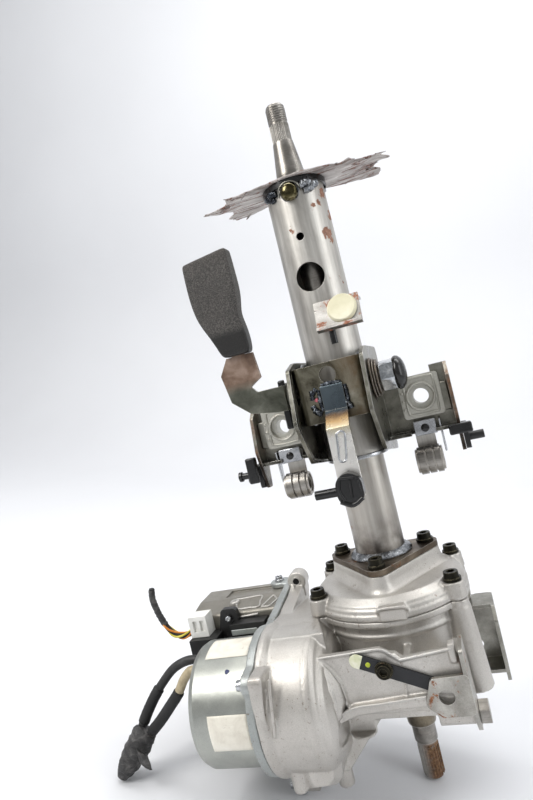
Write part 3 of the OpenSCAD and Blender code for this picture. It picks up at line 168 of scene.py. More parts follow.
class Finish:
    """One procedural material whose patterns follow the column's own directions."""

    def __init__(self, name):
        self.name = name
        self.mat = bpy.data.materials.new(name + "_look")
        self.mat.use_nodes = True
        self.tree = self.mat.node_tree
        self.tree.nodes.clear()
        out = self.node("ShaderNodeOutputMaterial")
        self.bsdf = self.node("ShaderNodeBsdfPrincipled")
        self.put(out.inputs[0], self.bsdf.outputs[0])
        coords = self.node("ShaderNodeTexCoord")
        lean = self.node("ShaderNodeMapping", Vector=coords.outputs["Object"], Rotation=(0, LEAN, 0))
        self.place = lean.outputs[0]

    def put(self, socket, value):
        if isinstance(value, bpy.types.NodeSocket):
            self.tree.links.new(value, socket)
        else:
            socket.default_value = value

    def node(self, kind, **values):
        """A new node with values or links put in its named sockets."""
        made = self.tree.nodes.new(kind)
        for socket, value in values.items():
            self.put(made.inputs[socket], value)
        return made

    def noise(self, scale, detail=4.0, rough=0.55, stretch=None, bend=0.0):
        where = self.place
        if stretch:
            where = self.node("ShaderNodeMapping", Vector=where, Scale=stretch).outputs[0]
        tex = self.node("ShaderNodeTexNoise", Vector=where, Scale=scale, Detail=detail, Roughness=rough,
                        Distortion=bend)
        return tex.outputs[0]

    def cells(self, scale):
        return self.node("ShaderNodeTexVoronoi", Vector=self.place, Scale=scale).outputs["Distance"]

    def along(self, axis):
        """Metres from the journal's lower edge along one of the column's directions."""
        return self.node("ShaderNodeSeparateXYZ", Vector=self.place).outputs[axis]

    def far_from(self, x, y, z):
        """Metres from a point given in the column's millimetres."""
        return self.vector_maths("DISTANCE", self.place, (x / 1000, y / 1000, (z - JOURNAL_Z) / 1000))

    def vector_maths(self, kind, first, second):
        node = self.node("ShaderNodeVectorMath")
        node.operation = kind
        self.put(node.inputs[0], first)
        self.put(node.inputs[1], second)
        return node.outputs["Value"]

    def maths(self, kind, first, second):
        node = self.node("ShaderNodeMath")
        node.operation = kind
        self.put(node.inputs[0], first)
        self.put(node.inputs[1], second)
        return node.outputs[0]

    def times(self, first, second):
        return self.maths("MULTIPLY", first, second)

    def ramp(self, fac, *stops):
        node = self.node("ShaderNodeValToRGB")
        points = node.color_ramp.elements
        while len(points) < len(stops):
            points.new(0.5)
        for point, (position, code) in zip(points, stops):
            point.position = position
            point.color = hexed(code)
        self.put(node.inputs[0], fac)
        return node.outputs[0]

    def tones(self, fac, codes, *places):
        """Ramp through colour codes, parted by spaces, at the given places."""
        return self.ramp(fac, *zip(places, codes.split()))

    def span(self, value, start, stop, low=0.0, high=1.0):
        """Value between start and stop, spread from low to high and held beyond them."""
        node = self.node("ShaderNodeMapRange", **{"Value": value, "From Min": start, "From Max": stop,
                                                  "To Min": low, "To Max": high})
        return node.outputs[0]

    def mix(self, fac, first, second, kind="MIX"):
        node = self.node("ShaderNodeMix")
        node.data_type = "RGBA"
        node.blend_type = kind
        self.put(node.inputs[0], fac)
        self.put(node.inputs[6], first)
        self.put(node.inputs[7], second)
        return node.outputs[2]

    def tint(self, colour, where, share, code):
        """Colour turned towards another by a share, where a mask says so."""
        return self.mix(self.times(where, share), colour, hexed(code))

    def grained(self, colour, grain, share, dark, light=0.7):
        """Colour darkened by a fine grain."""
        return self.mix(share, colour, self.ramp(grain, (0.3, dark), (light, "ffffff")), "MULTIPLY")

    def worn(self, colour, radius, share, code, start=0.985, stop=0.87):
        """Colour rubbed towards another on sharp edges, and the normal rounded over them."""
        bevel = self.node("ShaderNodeBevel", Radius=radius)
        bevel.samples = 4
        surface = self.node("ShaderNodeNewGeometry")
        bend = self.vector_maths("DOT_PRODUCT", bevel.outputs[0], surface.outputs["Normal"])
        return self.tint(colour, self.span(bend, start, stop), share, code), bevel.outputs[0]

    def rougher(self, rough, where, least):
        """Roughness that is no less than a value where a mask says so."""
        return self.maths("MAXIMUM", rough, self.times(where, least))

    def done(self, colour, rough, height, depth, metallic=0.0, normal=None):
        self.put(self.bsdf.inputs["Base Color"], colour)
        self.put(self.bsdf.inputs["Roughness"], rough)
        self.put(self.bsdf.inputs["Metallic"], metallic)
        bump = self.node("ShaderNodeBump", Distance=depth, Height=height)
        if normal is not None:
            self.put(bump.inputs["Normal"], normal)
        self.put(self.bsdf.inputs["Normal"], bump.outputs[0])
        LOOKS[self.name] = self.mat


def metal(name, tones, rough, scale=55, grain=1400, depth=0.00006, rust=0.0,
          rust_tones="3d2316 7a4526 a8683c", edge=("d2cfc9", 0.5), metallic=1.0):
    """Steel or cast metal: tones in patches, fine grain, bright worn edges, rust where asked."""
    f = Finish(name)
    colour = f.tones(f.noise(scale, 6, 0.62, None, 0.25), tones, 0.28, 0.5, 0.74)
    fine = f.noise(grain, 3, 0.6)
    colour = f.grained(colour, fine, 0.22, "5a5a5a")
    colour, normal = f.worn(colour, 0.0006, edge[1], edge[0])
    rough_now = f.span(f.noise(scale * 3, 5, 0.6), 0.3, 0.7, rough[0], rough[1])
    shine = metallic
    if rust:
        where = f.span(f.noise(70, 9, 0.72, None, 0.6), 0.72 - 0.22 * rust, 0.75 - 0.2 * rust)
        colour = f.mix(where, colour, f.tones(f.noise(420, 5, 0.7), rust_tones, 0.3, 0.52, 0.72))
        shine = f.span(where, 0.0, 1.0, metallic, 0.1)
        rough_now = f.rougher(rough_now, where, 0.78)
    f.done(colour, rough_now, fine, depth, shine, normal)


def plastic(name, tones, rough, depth=0.00008, scale=40):
    """Moulded plastic or rubber: faint colour drift, grain, rubbed edges."""
    f = Finish(name)
    colour = f.tones(f.noise(scale, 5, 0.6), tones, 0.3, 0.55, 0.75)
    colour, normal = f.worn(colour, 0.0006, 0.35, tones.split()[2], 0.98, 0.85)
    rough_now = f.span(f.noise(scale * 4, 4), 0.3, 0.7, rough[0], rough[1])
    f.done(colour, rough_now, f.noise(900, 4, 0.65), depth, normal=normal)


def casting(name, tones, rough, stain):
    """Die-cast alloy: sandy skin, soft flow marks, brown drips and dark specks."""
    f = Finish(name)
    colour = f.tones(f.noise(22, 6, 0.6, (1, 1, 0.6), 0.4), tones, 0.28, 0.5, 0.74)
    skin = f.noise(1500, 4, 0.7)
    colour = f.grained(colour, skin, 0.3, "6e6e6e", 0.68)
    drip = f.span(f.noise(30, 7, 0.68, (1, 1, 0.45), 0.8), 0.60, 0.78)
    colour = f.tint(colour, drip, stain, "6b5a48")
    crowd = f.span(f.noise(16, 4, 0.6), 0.44, 0.56)
    speck = f.times(f.span(f.noise(380, 5, 0.75), 0.605, 0.655), crowd)
    colour = f.tint(colour, speck, 0.75, "6a5340")
    colour, normal = f.worn(colour, 0.0009, 0.35, "d9d8d5", 0.985, 0.86)
    rough_now = f.span(f.noise(90, 5, 0.6), 0.3, 0.7, rough[0], rough[1])
    f.done(colour, rough_now, skin, 0.00012, 0.7, normal)


RUST_SPOTS = ((21.2, -13.2, 469, 5.5), (22.5, -11, 463, 3.5), (19.4, -15.7, 494.7, 3.2),
              (15.4, -19.7, 492, 2.6), (23.6, -8.3, 503, 5), (24.8, -2.7, 485, 5), (-6.4, -24.1, 477, 2.5),
              (-24, 6, 440, 6))


def tube_steel():
    """Drawn tube: long streaks, dark scuffs, rust chips, browner lower tube with a burnt foot."""
    f = Finish("raw_steel")
    streak = f.noise(160, 6, 0.65, (1, 1, 0.05))
    colour = f.tones(streak, "a19d97 bebbb5 dad7d1", 0.25, 0.5, 0.75)
    stain = f.span(f.noise(28, 6, 0.62, (1, 1, 0.5), 0.4), 0.5, 0.75)
    colour = f.tint(colour, stain, 0.35, "5d5146")
    chips = f.span(f.noise(75, 9, 0.75, (1, 1, 0.8), 0.5), 0.665, 0.69)
    colour = f.mix(chips, colour, f.tones(f.noise(400, 5), "5a3018 9a5a30 b9763f", 0.3, 0.6, 0.8))
    ragged = f.span(f.noise(260, 5, 0.6), 0.3, 0.7, -0.003, 0.003)
    faded = f.tones(f.noise(300, 5), "7d5645 a07a66 b89a88", 0.3, 0.6, 0.8)
    for x, y, z, size in RUST_SPOTS:
        far = f.maths("ADD", f.far_from(x, y, z), ragged)
        near = f.span(far, size / 1000, size / 1000 - 0.0012)
        chips = f.maths("MAXIMUM", chips, near)
        colour = f.mix(near, colour, faded)
    height = f.along(2)
    colour = f.mix(f.span(height, 0.255, 0.245, 0.0, 0.3), colour, hexed("7d7265"))
    burnt = f.times(f.span(height, 0.205, 0.172), f.span(f.noise(60, 5), 0.3, 0.6))
    colour = f.tint(colour, burnt, 0.8, "3a3029")
    colour, normal = f.worn(colour, 0.0005, 0.5, "d0ccc6", 0.985, 0.88)
    rough_now = f.rougher(f.span(streak, 0.3, 0.7, 0.34, 0.5), chips, 0.8)
    fine = f.noise(1700, 3, 0.6, (1, 1, 0.08))
    f.done(colour, rough_now, fine, 0.00005, f.span(chips, 0.0, 1.0, 1.0, 0.1), normal)


def turned_steel(name, tones, rust):
    """Turned shaft: fine rings round the axis, brown film and rust towards the lower end."""
    f = Finish(name)
    rings = f.noise(1500, 3, 0.6, (0.04, 0.04, 1))
    film = f.noise(45, 6, 0.62, None, 0.3)
    colour = f.grained(f.tones(film, tones, 0.28, 0.52, 0.75), rings, 0.3, "777777")
    rough_now = f.span(film, 0.3, 0.7, 0.24, 0.4)
    shine = 1.0
    if rust:
        low = f.span(f.along(2), 0.001, -0.002)
        side = f.span(f.along(0), -0.0055, 0.001)
        where = f.times(f.times(low, side), f.span(f.noise(160, 7, 0.7), 0.2, 0.42))
        rusty = f.tones(f.noise(500, 5), "4a3322 7b5c41 a58662", 0.3, 0.55, 0.8)
        colour = f.mix(where, colour, rusty)
        shine = f.span(where, 0.0, 1.0, 1.0, 0.25)
        rough_now = f.rougher(rough_now, where, 0.7)
    colour, normal = f.worn(colour, 0.0004, 0.4, "dcd9d4", 0.985, 0.88)
    f.done(colour, rough_now, rings, 0.00004, shine, normal)


def bracket_steel():
    """Pressed bracket: grey steel, black oil low down and on the arms, brown rusty side lips."""
    f = Finish("bracket_steel")
    cloud = f.noise(34, 7, 0.63, None, 0.5)
    colour = f.tones(cloud, "5b5951 8a887e b5b3a9", 0.28, 0.5, 0.74)
    wide = f.maths("ABSOLUTE", f.along(0), 0.0)
    patch = f.noise(60, 7, 0.68, None, 0.5)
    lip = f.times(f.span(wide, 0.0835, 0.086), f.span(patch, 0.36, 0.55))
    spot_rust = f.times(f.span(f.far_from(28, -92, 112), 0.017, 0.008), f.span(patch, 0.4, 0.52))
    lip = f.maths("MAXIMUM", lip, spot_rust)
    rusty = f.tones(f.noise(260, 6, 0.7), "38261a 6d4a33 93735a", 0.3, 0.52, 0.74)
    colour = f.mix(f.times(lip, 0.85), colour, rusty)
    upper = f.span(f.along(2), 0.235, 0.24)
    low = f.times(f.span(f.along(2), 0.270, 0.258), f.span(patch, 0.3, 0.5))
    arm = f.times(f.span(wide, 0.0335, 0.0315), f.span(patch, 0.42, 0.6))
    oily = f.times(upper, f.maths("MAXIMUM", low, f.times(arm, 0.45)))
    colour = f.tint(colour, oily, 0.85, "16140f")
    fine = f.noise(1400, 4, 0.65)
    colour = f.grained(colour, fine, 0.2, "5a5a5a")
    colour, normal = f.worn(colour, 0.0007, 0.7, "d8d6cf")
    rough_now = f.maths("SUBTRACT", f.span(cloud, 0.3, 0.7, 0.26, 0.42), f.times(oily, 0.12))
    rough_now = f.rougher(rough_now, lip, 0.55)
    f.done(colour, rough_now, fine, 0.00007, f.span(lip, 0, 1, 1.0, 0.5), normal)


def saddle_steel():
    """Saddle beside its welds: olive and dark heat tint, brown towards the right."""
    f = Finish("tinted_steel")
    cloud = f.noise(30, 7, 0.62, (1, 1, 0.8), 0.6)
    colour = f.tones(cloud, "2e2b24 5f5b4e 8e8a7a b8b4a6", 0.3, 0.44, 0.58, 0.74)
    brown = f.times(f.span(f.along(0), 0.0, 0.022), f.span(f.noise(40, 5), 0.35, 0.6))
    colour = f.tint(colour, brown, 0.7, "6d5132")
    colour = f.tint(colour, f.span(f.along(2), 0.305, 0.285), 0.6, "2b251c")
    fine = f.noise(1300, 4, 0.65)
    colour = f.grained(colour, fine, 0.2, "666666")
    colour, normal = f.worn(colour, 0.0008, 0.55, "cfcbbf")
    f.done(colour, f.span(cloud, 0.3, 0.7, 0.2, 0.4), fine, 0.00006, 1.0, normal)


def tongue_steel():
    """Tongue: dark blue-grey where it is welded, a brown and straw tint below, then bright steel."""
    f = Finish("tongue")
    wander = f.noise(70, 5, 0.6, None, 0.4)
    height = f.maths("ADD", f.along(2), f.span(wander, 0.2, 0.8, -0.003, 0.003))
    colour = f.tones(f.span(height, 0.228, 0.314),
                     "f0ede7 f4f1ec dbd0b4 b3946a 6b5642 4d565c 5d676d",
                     0.0, 0.54, 0.62, 0.685, 0.73, 0.765, 1.0)
    colour = f.mix(f.span(f.noise(120, 8, 0.72), 0.68, 0.7), colour, hexed("8a5836"))
    colour, normal = f.worn(colour, 0.0007, 0.6, "e6e2d8")
    fine = f.noise(1500, 4, 0.6, (1, 1, 0.3))
    f.done(colour, f.span(wander, 0.3, 0.7, 0.22, 0.38), fine, 0.00005, 1.0, normal)


def lever_steel():
    """Lever: olive-grey strip, its upturned end brown with rust."""
    f = Finish("lever")
    cloud = f.noise(45, 6, 0.62, None, 0.4)
    strip = f.tones(cloud, "45463e 6b6c62 95958a", 0.3, 0.52, 0.74)
    rusty = f.tones(cloud, "4a382e 7a6557 a08d80", 0.3, 0.52, 0.74)
    height = f.maths("ADD", f.along(2), f.span(cloud, 0.2, 0.8, -0.004, 0.004))
    top = f.span(height, 0.326, 0.334)
    colour, normal = f.worn(f.mix(top, strip, rusty), 0.0006, 0.6, "c5c1b6")
    fine = f.noise(1200, 4, 0.65)
    f.done(colour, f.span(top, 0, 1, 0.32, 0.55), fine, 0.00008, f.span(top, 0, 1, 1.0, 0.6), normal)


def grip():
    """Moulded grip: leather-like grain on the head, smooth and darker below, with a painted warm highlight
    towards the top.
    """
    f = Finish("handle_plastic")
    height = f.along(2)
    head = f.span(height, 0.372, 0.378)
    colour = f.tones(f.noise(980, 2, 0.5), "262523 3e3b39 615d59", 0.34, 0.5, 0.66)
    colour = f.mix(0.3, colour, f.tones(f.noise(35, 5, 0.6), "2b2a28 514e4a", 0.3, 0.7))
    colour = f.mix(f.span(head, 0, 1, 0.85, 0.0), colour, hexed("171717"))
    # Painted highlight: the colour turns warmer towards the top of the head.
    colour = f.tint(colour, f.span(height, 0.425, 0.441), 0.35, "3d3832")
    f.put(f.bsdf.inputs["Specular IOR Level"], 0.4)
    f.done(colour, f.span(head, 0, 1, 0.42, 0.6), f.times(f.cells(950), head), 0.0004)


def primer_sheet():
    """Torn sheet: pinkish-grey primer, red-brown scratches, dark torn edges."""
    f = Finish("torn_sheet")
    colour = f.tones(f.noise(40, 6, 0.65, (1, 2.2, 1), 0.5), "7a736f ada7a3 d5d1cd", 0.3, 0.5, 0.7)
    scratch = f.span(f.noise(70, 8, 0.75, (0.3, 2.6, 1), 0.9), 0.53, 0.57)
    bare = f.tones(f.noise(300, 4), "33221c 6b4233 9a6650", 0.3, 0.55, 0.8)
    colour = f.mix(scratch, colour, bare)
    colour, normal = f.worn(colour, 0.0014, 0.9, "3a2923", 0.995, 0.85)
    f.done(colour, 0.62, f.noise(500, 6, 0.7), 0.0003, 0.15, normal)


def cable_sheath(name, tones, rough=0.5):
    """Cable sheath: fine rub marks and dust."""
    f = Finish(name)
    dust = f.noise(90, 6, 0.65)
    colour = f.tones(dust, tones, 0.3, 0.55, 0.78)
    f.done(colour, f.span(dust, 0.3, 0.7, rough - 0.08, rough + 0.1), f.noise(800, 4, 0.6), 0.0001)


def cloth_tape():
    """Cloth tape: fine weave, wrinkles and grey rubbed folds."""
    f = Finish("tape")
    fold = f.noise(110, 6, 0.65, (1, 1, 1.6), 0.6)
    colour = f.tones(fold, "1d1d1d 333232 5f5d5b", 0.3, 0.5, 0.7)
    height = f.maths("ADD", f.times(f.cells(2300), 0.25), f.times(fold, 3.0))
    f.done(colour, f.span(fold, 0.3, 0.7, 0.62, 0.45), height, 0.0005)


def paper():
    """Bare paper label: warm white, faint grease and a rubbed skin."""
    f = Finish("label")
    colour = f.tones(f.noise(70, 6, 0.65, None, 0.4), "cfc8ba e4dfd2 eeeae0", 0.25, 0.5, 0.75)
    smear = f.span(f.noise(160, 7, 0.7, (1, 1, 3)), 0.62, 0.72)
    colour = f.tint(colour, smear, 0.45, "9a9184")
    f.done(colour, 0.55, f.noise(1600, 4, 0.6), 0.00006)


# Looks of the record's material slots
for make in (tube_steel, bracket_steel, saddle_steel, grip, cloth_tape):
    make()
turned_steel("machined_steel", "6a655f 918d87 b9b5af", False)
turned_steel("rusty_steel", "8a857e b0aca6 cfccc6", True)
metal("zinc", "1f1c12 4d4730 9a9272", (0.06, 0.16), edge=("bdb592", 0.4), scale=140)
metal("bright_zinc", "8d8f92 b9bbbe e0e2e4", (0.14, 0.3), rust=0.22, edge=("f2f2f2", 0.5))
metal("black_bolt", "14130f 25231c 3b382d", (0.3, 0.48), rust=0.2, edge=("77705c", 0.7), metallic=0.9)
metal("galvanised", "989a95 aaaca6 babbb4", (0.32, 0.44), scale=26, grain=2200, depth=0.00002,
      edge=("dfe2e5", 0.4))
metal("bearing_steel", "8a8a88 b4b4b2 dadad8", (0.12, 0.25))
metal("copper_core", "6b3d22 a5653a cf8d58", (0.25, 0.4))
metal("magnet", "1d1d1f 303033 444448", (0.5, 0.65), metallic=0.3)
casting("die_cast", "b6b2ac c4c0ba d2cfc9", (0.34, 0.47), 0.42)
casting("light_cast", "9a9e9d aeb2b0 c2c5c3", (0.36, 0.5), 0.2)
plastic("gear_nylon", "b49a68 c9b07c dac694", (0.35, 0.5))
plastic("black_plastic", "0d0d0d 171717 2a2a2a", (0.35, 0.52))
plastic("brown_plastic", "3d2412 5b381e 77502e", (0.4, 0.55))
plastic("cream_plastic", "cfc9a9 e0dbbf eeead6", (0.3, 0.42), depth=0.00003)
plastic("white_plastic", "d3d2cd e6e5e0 f3f2ee", (0.35, 0.5), depth=0.00003)
plastic("black_rubber", "101010 1b1b1b 303030", (0.6, 0.75))
cable_sheath("dark_sheath", "191919 262626 424242")
cable_sheath("light_sheath", "8d8065 b3a587 cfc3a6")
cable_sheath("wire_orange", "a85d14 d8862a eaa84a", 0.4)

# Further looks of single nodes and fine pieces
for make in (tongue_steel, lever_steel, primer_sheet, paper):
    make()
cable_sheath("wire_yellow", "a59a25 d2c445 e6dc78", 0.4)
metal("weld", "4d4f52 84878b bfc2c6", (0.2, 0.45), scale=260, grain=900, depth=0.0002)
metal("dark_weld", "1b1c1f 41454b 99a0a8", (0.15, 0.4), scale=240, grain=900, depth=0.0002)
metal("rim_steel", "6d6b62 a3a197 d9d7d0", (0.2, 0.38), scale=60, rust=0.3)
metal("rusty_plate", "453c33 6b5f52 918574", (0.3, 0.5), rust=0.5, scale=45,
      rust_tones="3c2a1f 67482f 8a6645")
metal("tab", "a39f99 bfbcb7 dad8d4", (0.25, 0.4), rust=0.95, rust_tones="7a4a36 a06a50 b98a72")
metal("light_sheet", "7b7972 96948c b2b0a8", (0.3, 0.46), rust=0.15, edge=("e2e0da", 0.7))
metal("front_sheet", "8f8c85 aca9a2 c8c5be", (0.3, 0.46), rust=0.55, edge=("e2e0da", 0.6),
      rust_tones="4d2c1b 84502f a5714b")
metal("collar", "5d564a 857c6c aca392", (0.25, 0.42), rust=0.3, scale=60)
metal("nut_chrome", "63676b b4b8bc f2f4f6", (0.06, 0.18), scale=120, depth=0.00002)
casting("casting_edge", "b9b6b1 c6c3be d3d1cc", (0.34, 0.46), 0.25)
casting("ecu_cast", "837f77 959188 a7a39a", (0.36, 0.5), 0.35)
casting("capsule", "b3b1a7 c5c3b9 d6d4cb", (0.36, 0.5), 0.25)
plastic("gloss_black", "060606 0c0c0c 1a1a1a", (0.14, 0.26), depth=0.00002)
plastic("strap_black", "141518 1c1d21 2a2b30", (0.5, 0.65))
plastic("paint_green", "8d9a20 b6c22e d0d860", (0.4, 0.55))
plastic("paint_pink", "b04a58 d0717c e59aa2", (0.4, 0.55))
plastic("paint_blue", "141c3f 1f2a5c 34417c", (0.3, 0.45))
plastic("paint_pale", "c3c79a dcdcc4 ebeadf", (0.4, 0.55), scale=160)

NODE_LOOKS = {"tube_flange": "rusty_plate", "tongue_arm": "tongue", "lever_arm": "lever",
              "motor_screws": "bright_zinc", "column_clips": "gloss_black", "clamp_nut": "nut_chrome",
              "ground_strap": "strap_black", "tab_bracket": "tab", "lower_bracket": "light_sheet",
              "front_bracket": "front_sheet", "pivot_bolts": "machined_steel", "tube_collar": "gloss_black",
              "capsules": "capsule", "ecu_case": "ecu_cast"}
for part in frame["record"]["subparts"]:
    solid = NODES[part["node"]].data
    solid.materials.clear()
    solid.materials.append(LOOKS[NODE_LOOKS.get(part["node"], part["material_slot"])])


# Mesh helpers

def closed_mesh(name, verts, faces):
    """A mesh from points in the column's millimetres, its faces turned outwards."""
    mesh = bpy.data.meshes.new(name)
    mesh.from_pydata([spot(*v) for v in verts], [], faces)
    bm = bmesh.new()
    bm.from_mesh(mesh)
    bmesh.ops.recalc_face_normals(bm, faces=bm.faces)
    bm.to_mesh(mesh)
    bm.free()
    return mesh


def piece(name, verts, faces, slot, body="column", look=None, instead=(), sharp=40):
    """A mesh drawn in the column's millimetres that rides on a body."""
    mesh = closed_mesh(name, verts, faces)
    mesh.polygons.foreach_set("use_smooth", [True] * len(mesh.polygons))
    mesh.set_sharp_from_angle(angle=radians(sharp))
    mesh.materials.append(LOOKS[look or slot])
    obj = shown(bpy.data.objects.new(name, mesh))
    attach(obj, body)
    if instead:
        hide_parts(*instead)
    return obj


def rings_to_faces(count, around):
    """Faces of a closed skin over rings of points, with both ends capped."""
    faces = []
    for i in range(count - 1):
        for k in range(around):
            j = (k + 1) % around
            faces.append((i * around + k, i * around + j, (i + 1) * around + j, (i + 1) * around + k))
    faces.append(tuple(range(around - 1, -1, -1)))
    faces.append(tuple((count - 1) * around + k for k in range(around)))
    return faces


def grid_faces(rows, columns):
    """Faces between rows of points."""
    faces = []
    for i in range(rows - 1):
        for k in range(columns - 1):
            a = i * columns + k
            faces.append((a, a + 1, a + columns + 1, a + columns))
    return faces


def axis_point(axis, centre, r, angle, h):
    """Point at radius r and height h about an axis through a centre."""
    c = r * cos(angle)
    s = r * sin(angle)
    if axis == "X":
        return (centre[0] + h, centre[1] + c, centre[2] + s)
    if axis == "Y":
        return (centre[0] + c, centre[1] - h, centre[2] + s)
    return (centre[0] + c, centre[1] + s, centre[2] + h)


def lathe(axis, centre, profile, around, wobble=None):
    """Closed solid of revolution from (radius, height) points; a first or last radius of zero is a tip."""
    verts = []
    for r, h in profile:
        for k in range(around):
            a = 2 * pi * k / around
            extra = wobble(a, h) if wobble else 0.0
            verts.append(axis_point(axis, centre, max(r + extra, 0.01), a, h))
    return verts, rings_to_faces(len(profile), around)


def ring_lathe(axis, centre, section, around, wobble=None):
    """Closed ring of revolution from a loop of (radius, height) points."""
    verts = []
    n = len(section)
    for k in range(around):
        a = 2 * pi * k / around
        for r, h in section:
            extra = wobble(a, h) if wobble else 0.0
            verts.append(axis_point(axis, centre, r + extra, a, h))
    faces = []
    for k in range(around):
        j = (k + 1) % around
        for i in range(n):
            m = (i + 1) % n
            faces.append((k * n + i, k * n + m, j * n + m, j * n + i))
    return verts, faces


def smooth_path(points, count):
    """Evenly spread points on a smooth line through the given ones."""
    pts = [Vector(p) for p in points]
    pts = [2 * pts[0] - pts[1]] + pts + [2 * pts[-1] - pts[-2]]
    line = []
    for i in range(1, len(pts) - 2):
        for s in range(24):
            t = s / 24
            a, b, c, d = pts[i - 1], pts[i], pts[i + 1], pts[i + 2]
            line.append(0.5 * ((2 * b) + (c - a) * t + (2 * a - 5 * b + 4 * c - d) * t ** 2
                               + (3 * b - a - 3 * c + d) * t ** 3))
    line.append(pts[-2])
    far = [0.0]
    for a, b in zip(line, line[1:]):
        far.append(far[-1] + (b - a).length)
    out = []
    j = 0
    for k in range(count):
        want = far[-1] * k / (count - 1)
        while j < len(far) - 2 and far[j + 1] < want:
            j += 1
        step = far[j + 1] - far[j]
        out.append(line[j].lerp(line[j + 1], (want - far[j]) / step if step else 0))
    return out


def path_length(points):
    """Length of a line through points."""
    return sum((b - a).length for a, b in zip(points, points[1:]))


def tube(points, radius, around, wobble=None):
    """Swept tube along points; radius is a number or a function of the share of the length."""
    verts = []
    side = None
    last = len(points) - 1
    for i, p in enumerate(points):
        ahead = (points[min(i + 1, last)] - points[max(i - 1, 0)]).normalized()
        if side is None:
            side = ahead.cross(Vector((0.1, 1, 0.3))).normalized()
        side = (side - ahead * side.dot(ahead)).normalized()
        other = ahead.cross(side)
        r = radius(i / last) if callable(radius) else radius
        for k in range(around):
            a = 2 * pi * k / around
            extra = wobble(i / last, a) if wobble else 0.0
            verts.append(p + (r + extra) * (cos(a) * side + sin(a) * other))
    return verts, rings_to_faces(len(points), around)


def bead(name, points, radius, seed, lumps=0.28, look="weld"):
    """Weld bead: a lumpy, rippled run of metal."""
    rng = random.Random(seed)
    line = smooth_path(points, max(10, int(path_length([Vector(p) for p in points]) * 1.6)))
    shift = rng.random() * 50

    def swell(t):
        return radius * (0.55 + 0.45 * sin(pi * (0.06 + 0.88 * t)) ** 0.4)

    def lump(t, a):
        return radius * lumps * noise.noise(Vector((t * 26 + shift, a * 1.3, shift)))

    piece(name, *tube(line, swell, 10, lump), "machined_steel", look=look, sharp=75)


def dot_of_paint(name, centre, radius, look, slot, height=0.35):
    """Small uneven dome of paint on a front face."""
    shift = sum(centre)

    def uneven(a, h):
        return radius * 0.12 * noise.noise(Vector((2 * cos(a) + shift, 2 * sin(a), h)))

    profile = [(radius, -0.15), (radius * 0.93, height * 0.55), (radius * 0.6, height),
               (0.05, height * 1.08)]
    piece(name, *lathe("Y", centre, profile, 28, uneven), slot, look=look, sharp=60)


def grown(points, r):
    """Outline of a convex polygon grown by a round border, anticlockwise."""
    out = []
    n = len(points)
    for i in range(n):
        a = Vector(points[i]) - Vector(points[i - 1])
        b = Vector(points[(i + 1) % n]) - Vector(points[i])
        start = atan2(-a.x, a.y)
        stop = atan2(-b.x, b.y)
        while stop < start:
            stop += 2 * pi
        for s in range(7):
            t = start + (stop - start) * s / 6
            out.append((points[i][0] + r * cos(t), points[i][1] + r * sin(t)))
    return out


def loft(rings):
    """Closed solid through rings of equally many points."""
    verts = [p for ring in rings for p in ring]
    return verts, rings_to_faces(len(rings), len(rings[0]))


def prism(outline, place, low, high):
    """Closed slab from a flat outline; place maps (u, v, h) to a point."""
    return loft([[place(u, v, h) for u, v in outline] for h in (low, high)])


def block(x, y, z):
    """Closed box between pairs of x, y and z."""
    return loft([[(x[0], y[0], h), (x[1], y[0], h), (x[1], y[1], h), (x[0], y[1], h)] for h in z])


def side_slab(outline, low, high):
    """Slab across X from an outline of (y, z)."""
    return prism(outline, lambda u, v, h: (h, u, v), low, high)


def front_slab(outline, low, high):
    """Slab across Y from an outline of (x, z)."""
    return prism(outline, lambda u, v, h: (u, h, v), low, high)


def rod(points, radius, count=24, around=8):
    """Round bead along points."""
    return tube(smooth_path(points, count), radius, around)


def joined(shapes):
    """Several closed shapes as one list of points and faces."""
    verts = []
    faces = []
    for more, its_faces in shapes:
        faces += [tuple(len(verts) + i for i in face) for face in its_faces]
        verts += [tuple(v) for v in more]
    return verts, faces


def softened(obj, width, segments=2):
    """A piece with its sharp edges rounded."""
    bevel = obj.modifiers.new("rounded_edges", "BEVEL")
    bevel.width = width / 1000
    bevel.segments = segments
    bevel.limit_method = "ANGLE"
    return obj


def thickened(obj, width, offset=-1):
    """A sheet made thick, in metres."""
    thick = obj.modifiers.new("thickness", "SOLIDIFY")
    thick.thickness = width
    thick.offset = offset
    return obj


def baked(obj):
    """The mesh of an object with its modifiers; the object itself is taken away."""
    bpy.context.view_layer.update()
    made = bpy.data.meshes.new_from_object(obj.evaluated_get(bpy.context.evaluated_depsgraph_get()))
    bpy.data.objects.remove(obj)
    return made


def carved(node, cuts):
    """Copy of a node's mesh with closed shapes cut away."""
    work = shown(bpy.data.objects.new(node + "_work", NODES[node].data.copy()))
    tools = []
    for i, (verts, faces) in enumerate(cuts):
        name = f"{node}_tool_{i}"
        tool = shown(bpy.data.objects.new(name, closed_mesh(name, verts, faces)))
        cut = work.modifiers.new(f"cut_{i}", "BOOLEAN")
        cut.operation = "DIFFERENCE"
        cut.solver = "EXACT"
        cut.object = tool
        tools.append(tool)
    made = baked(work)
    for tool in tools:
        bpy.data.objects.remove(tool)
    return made


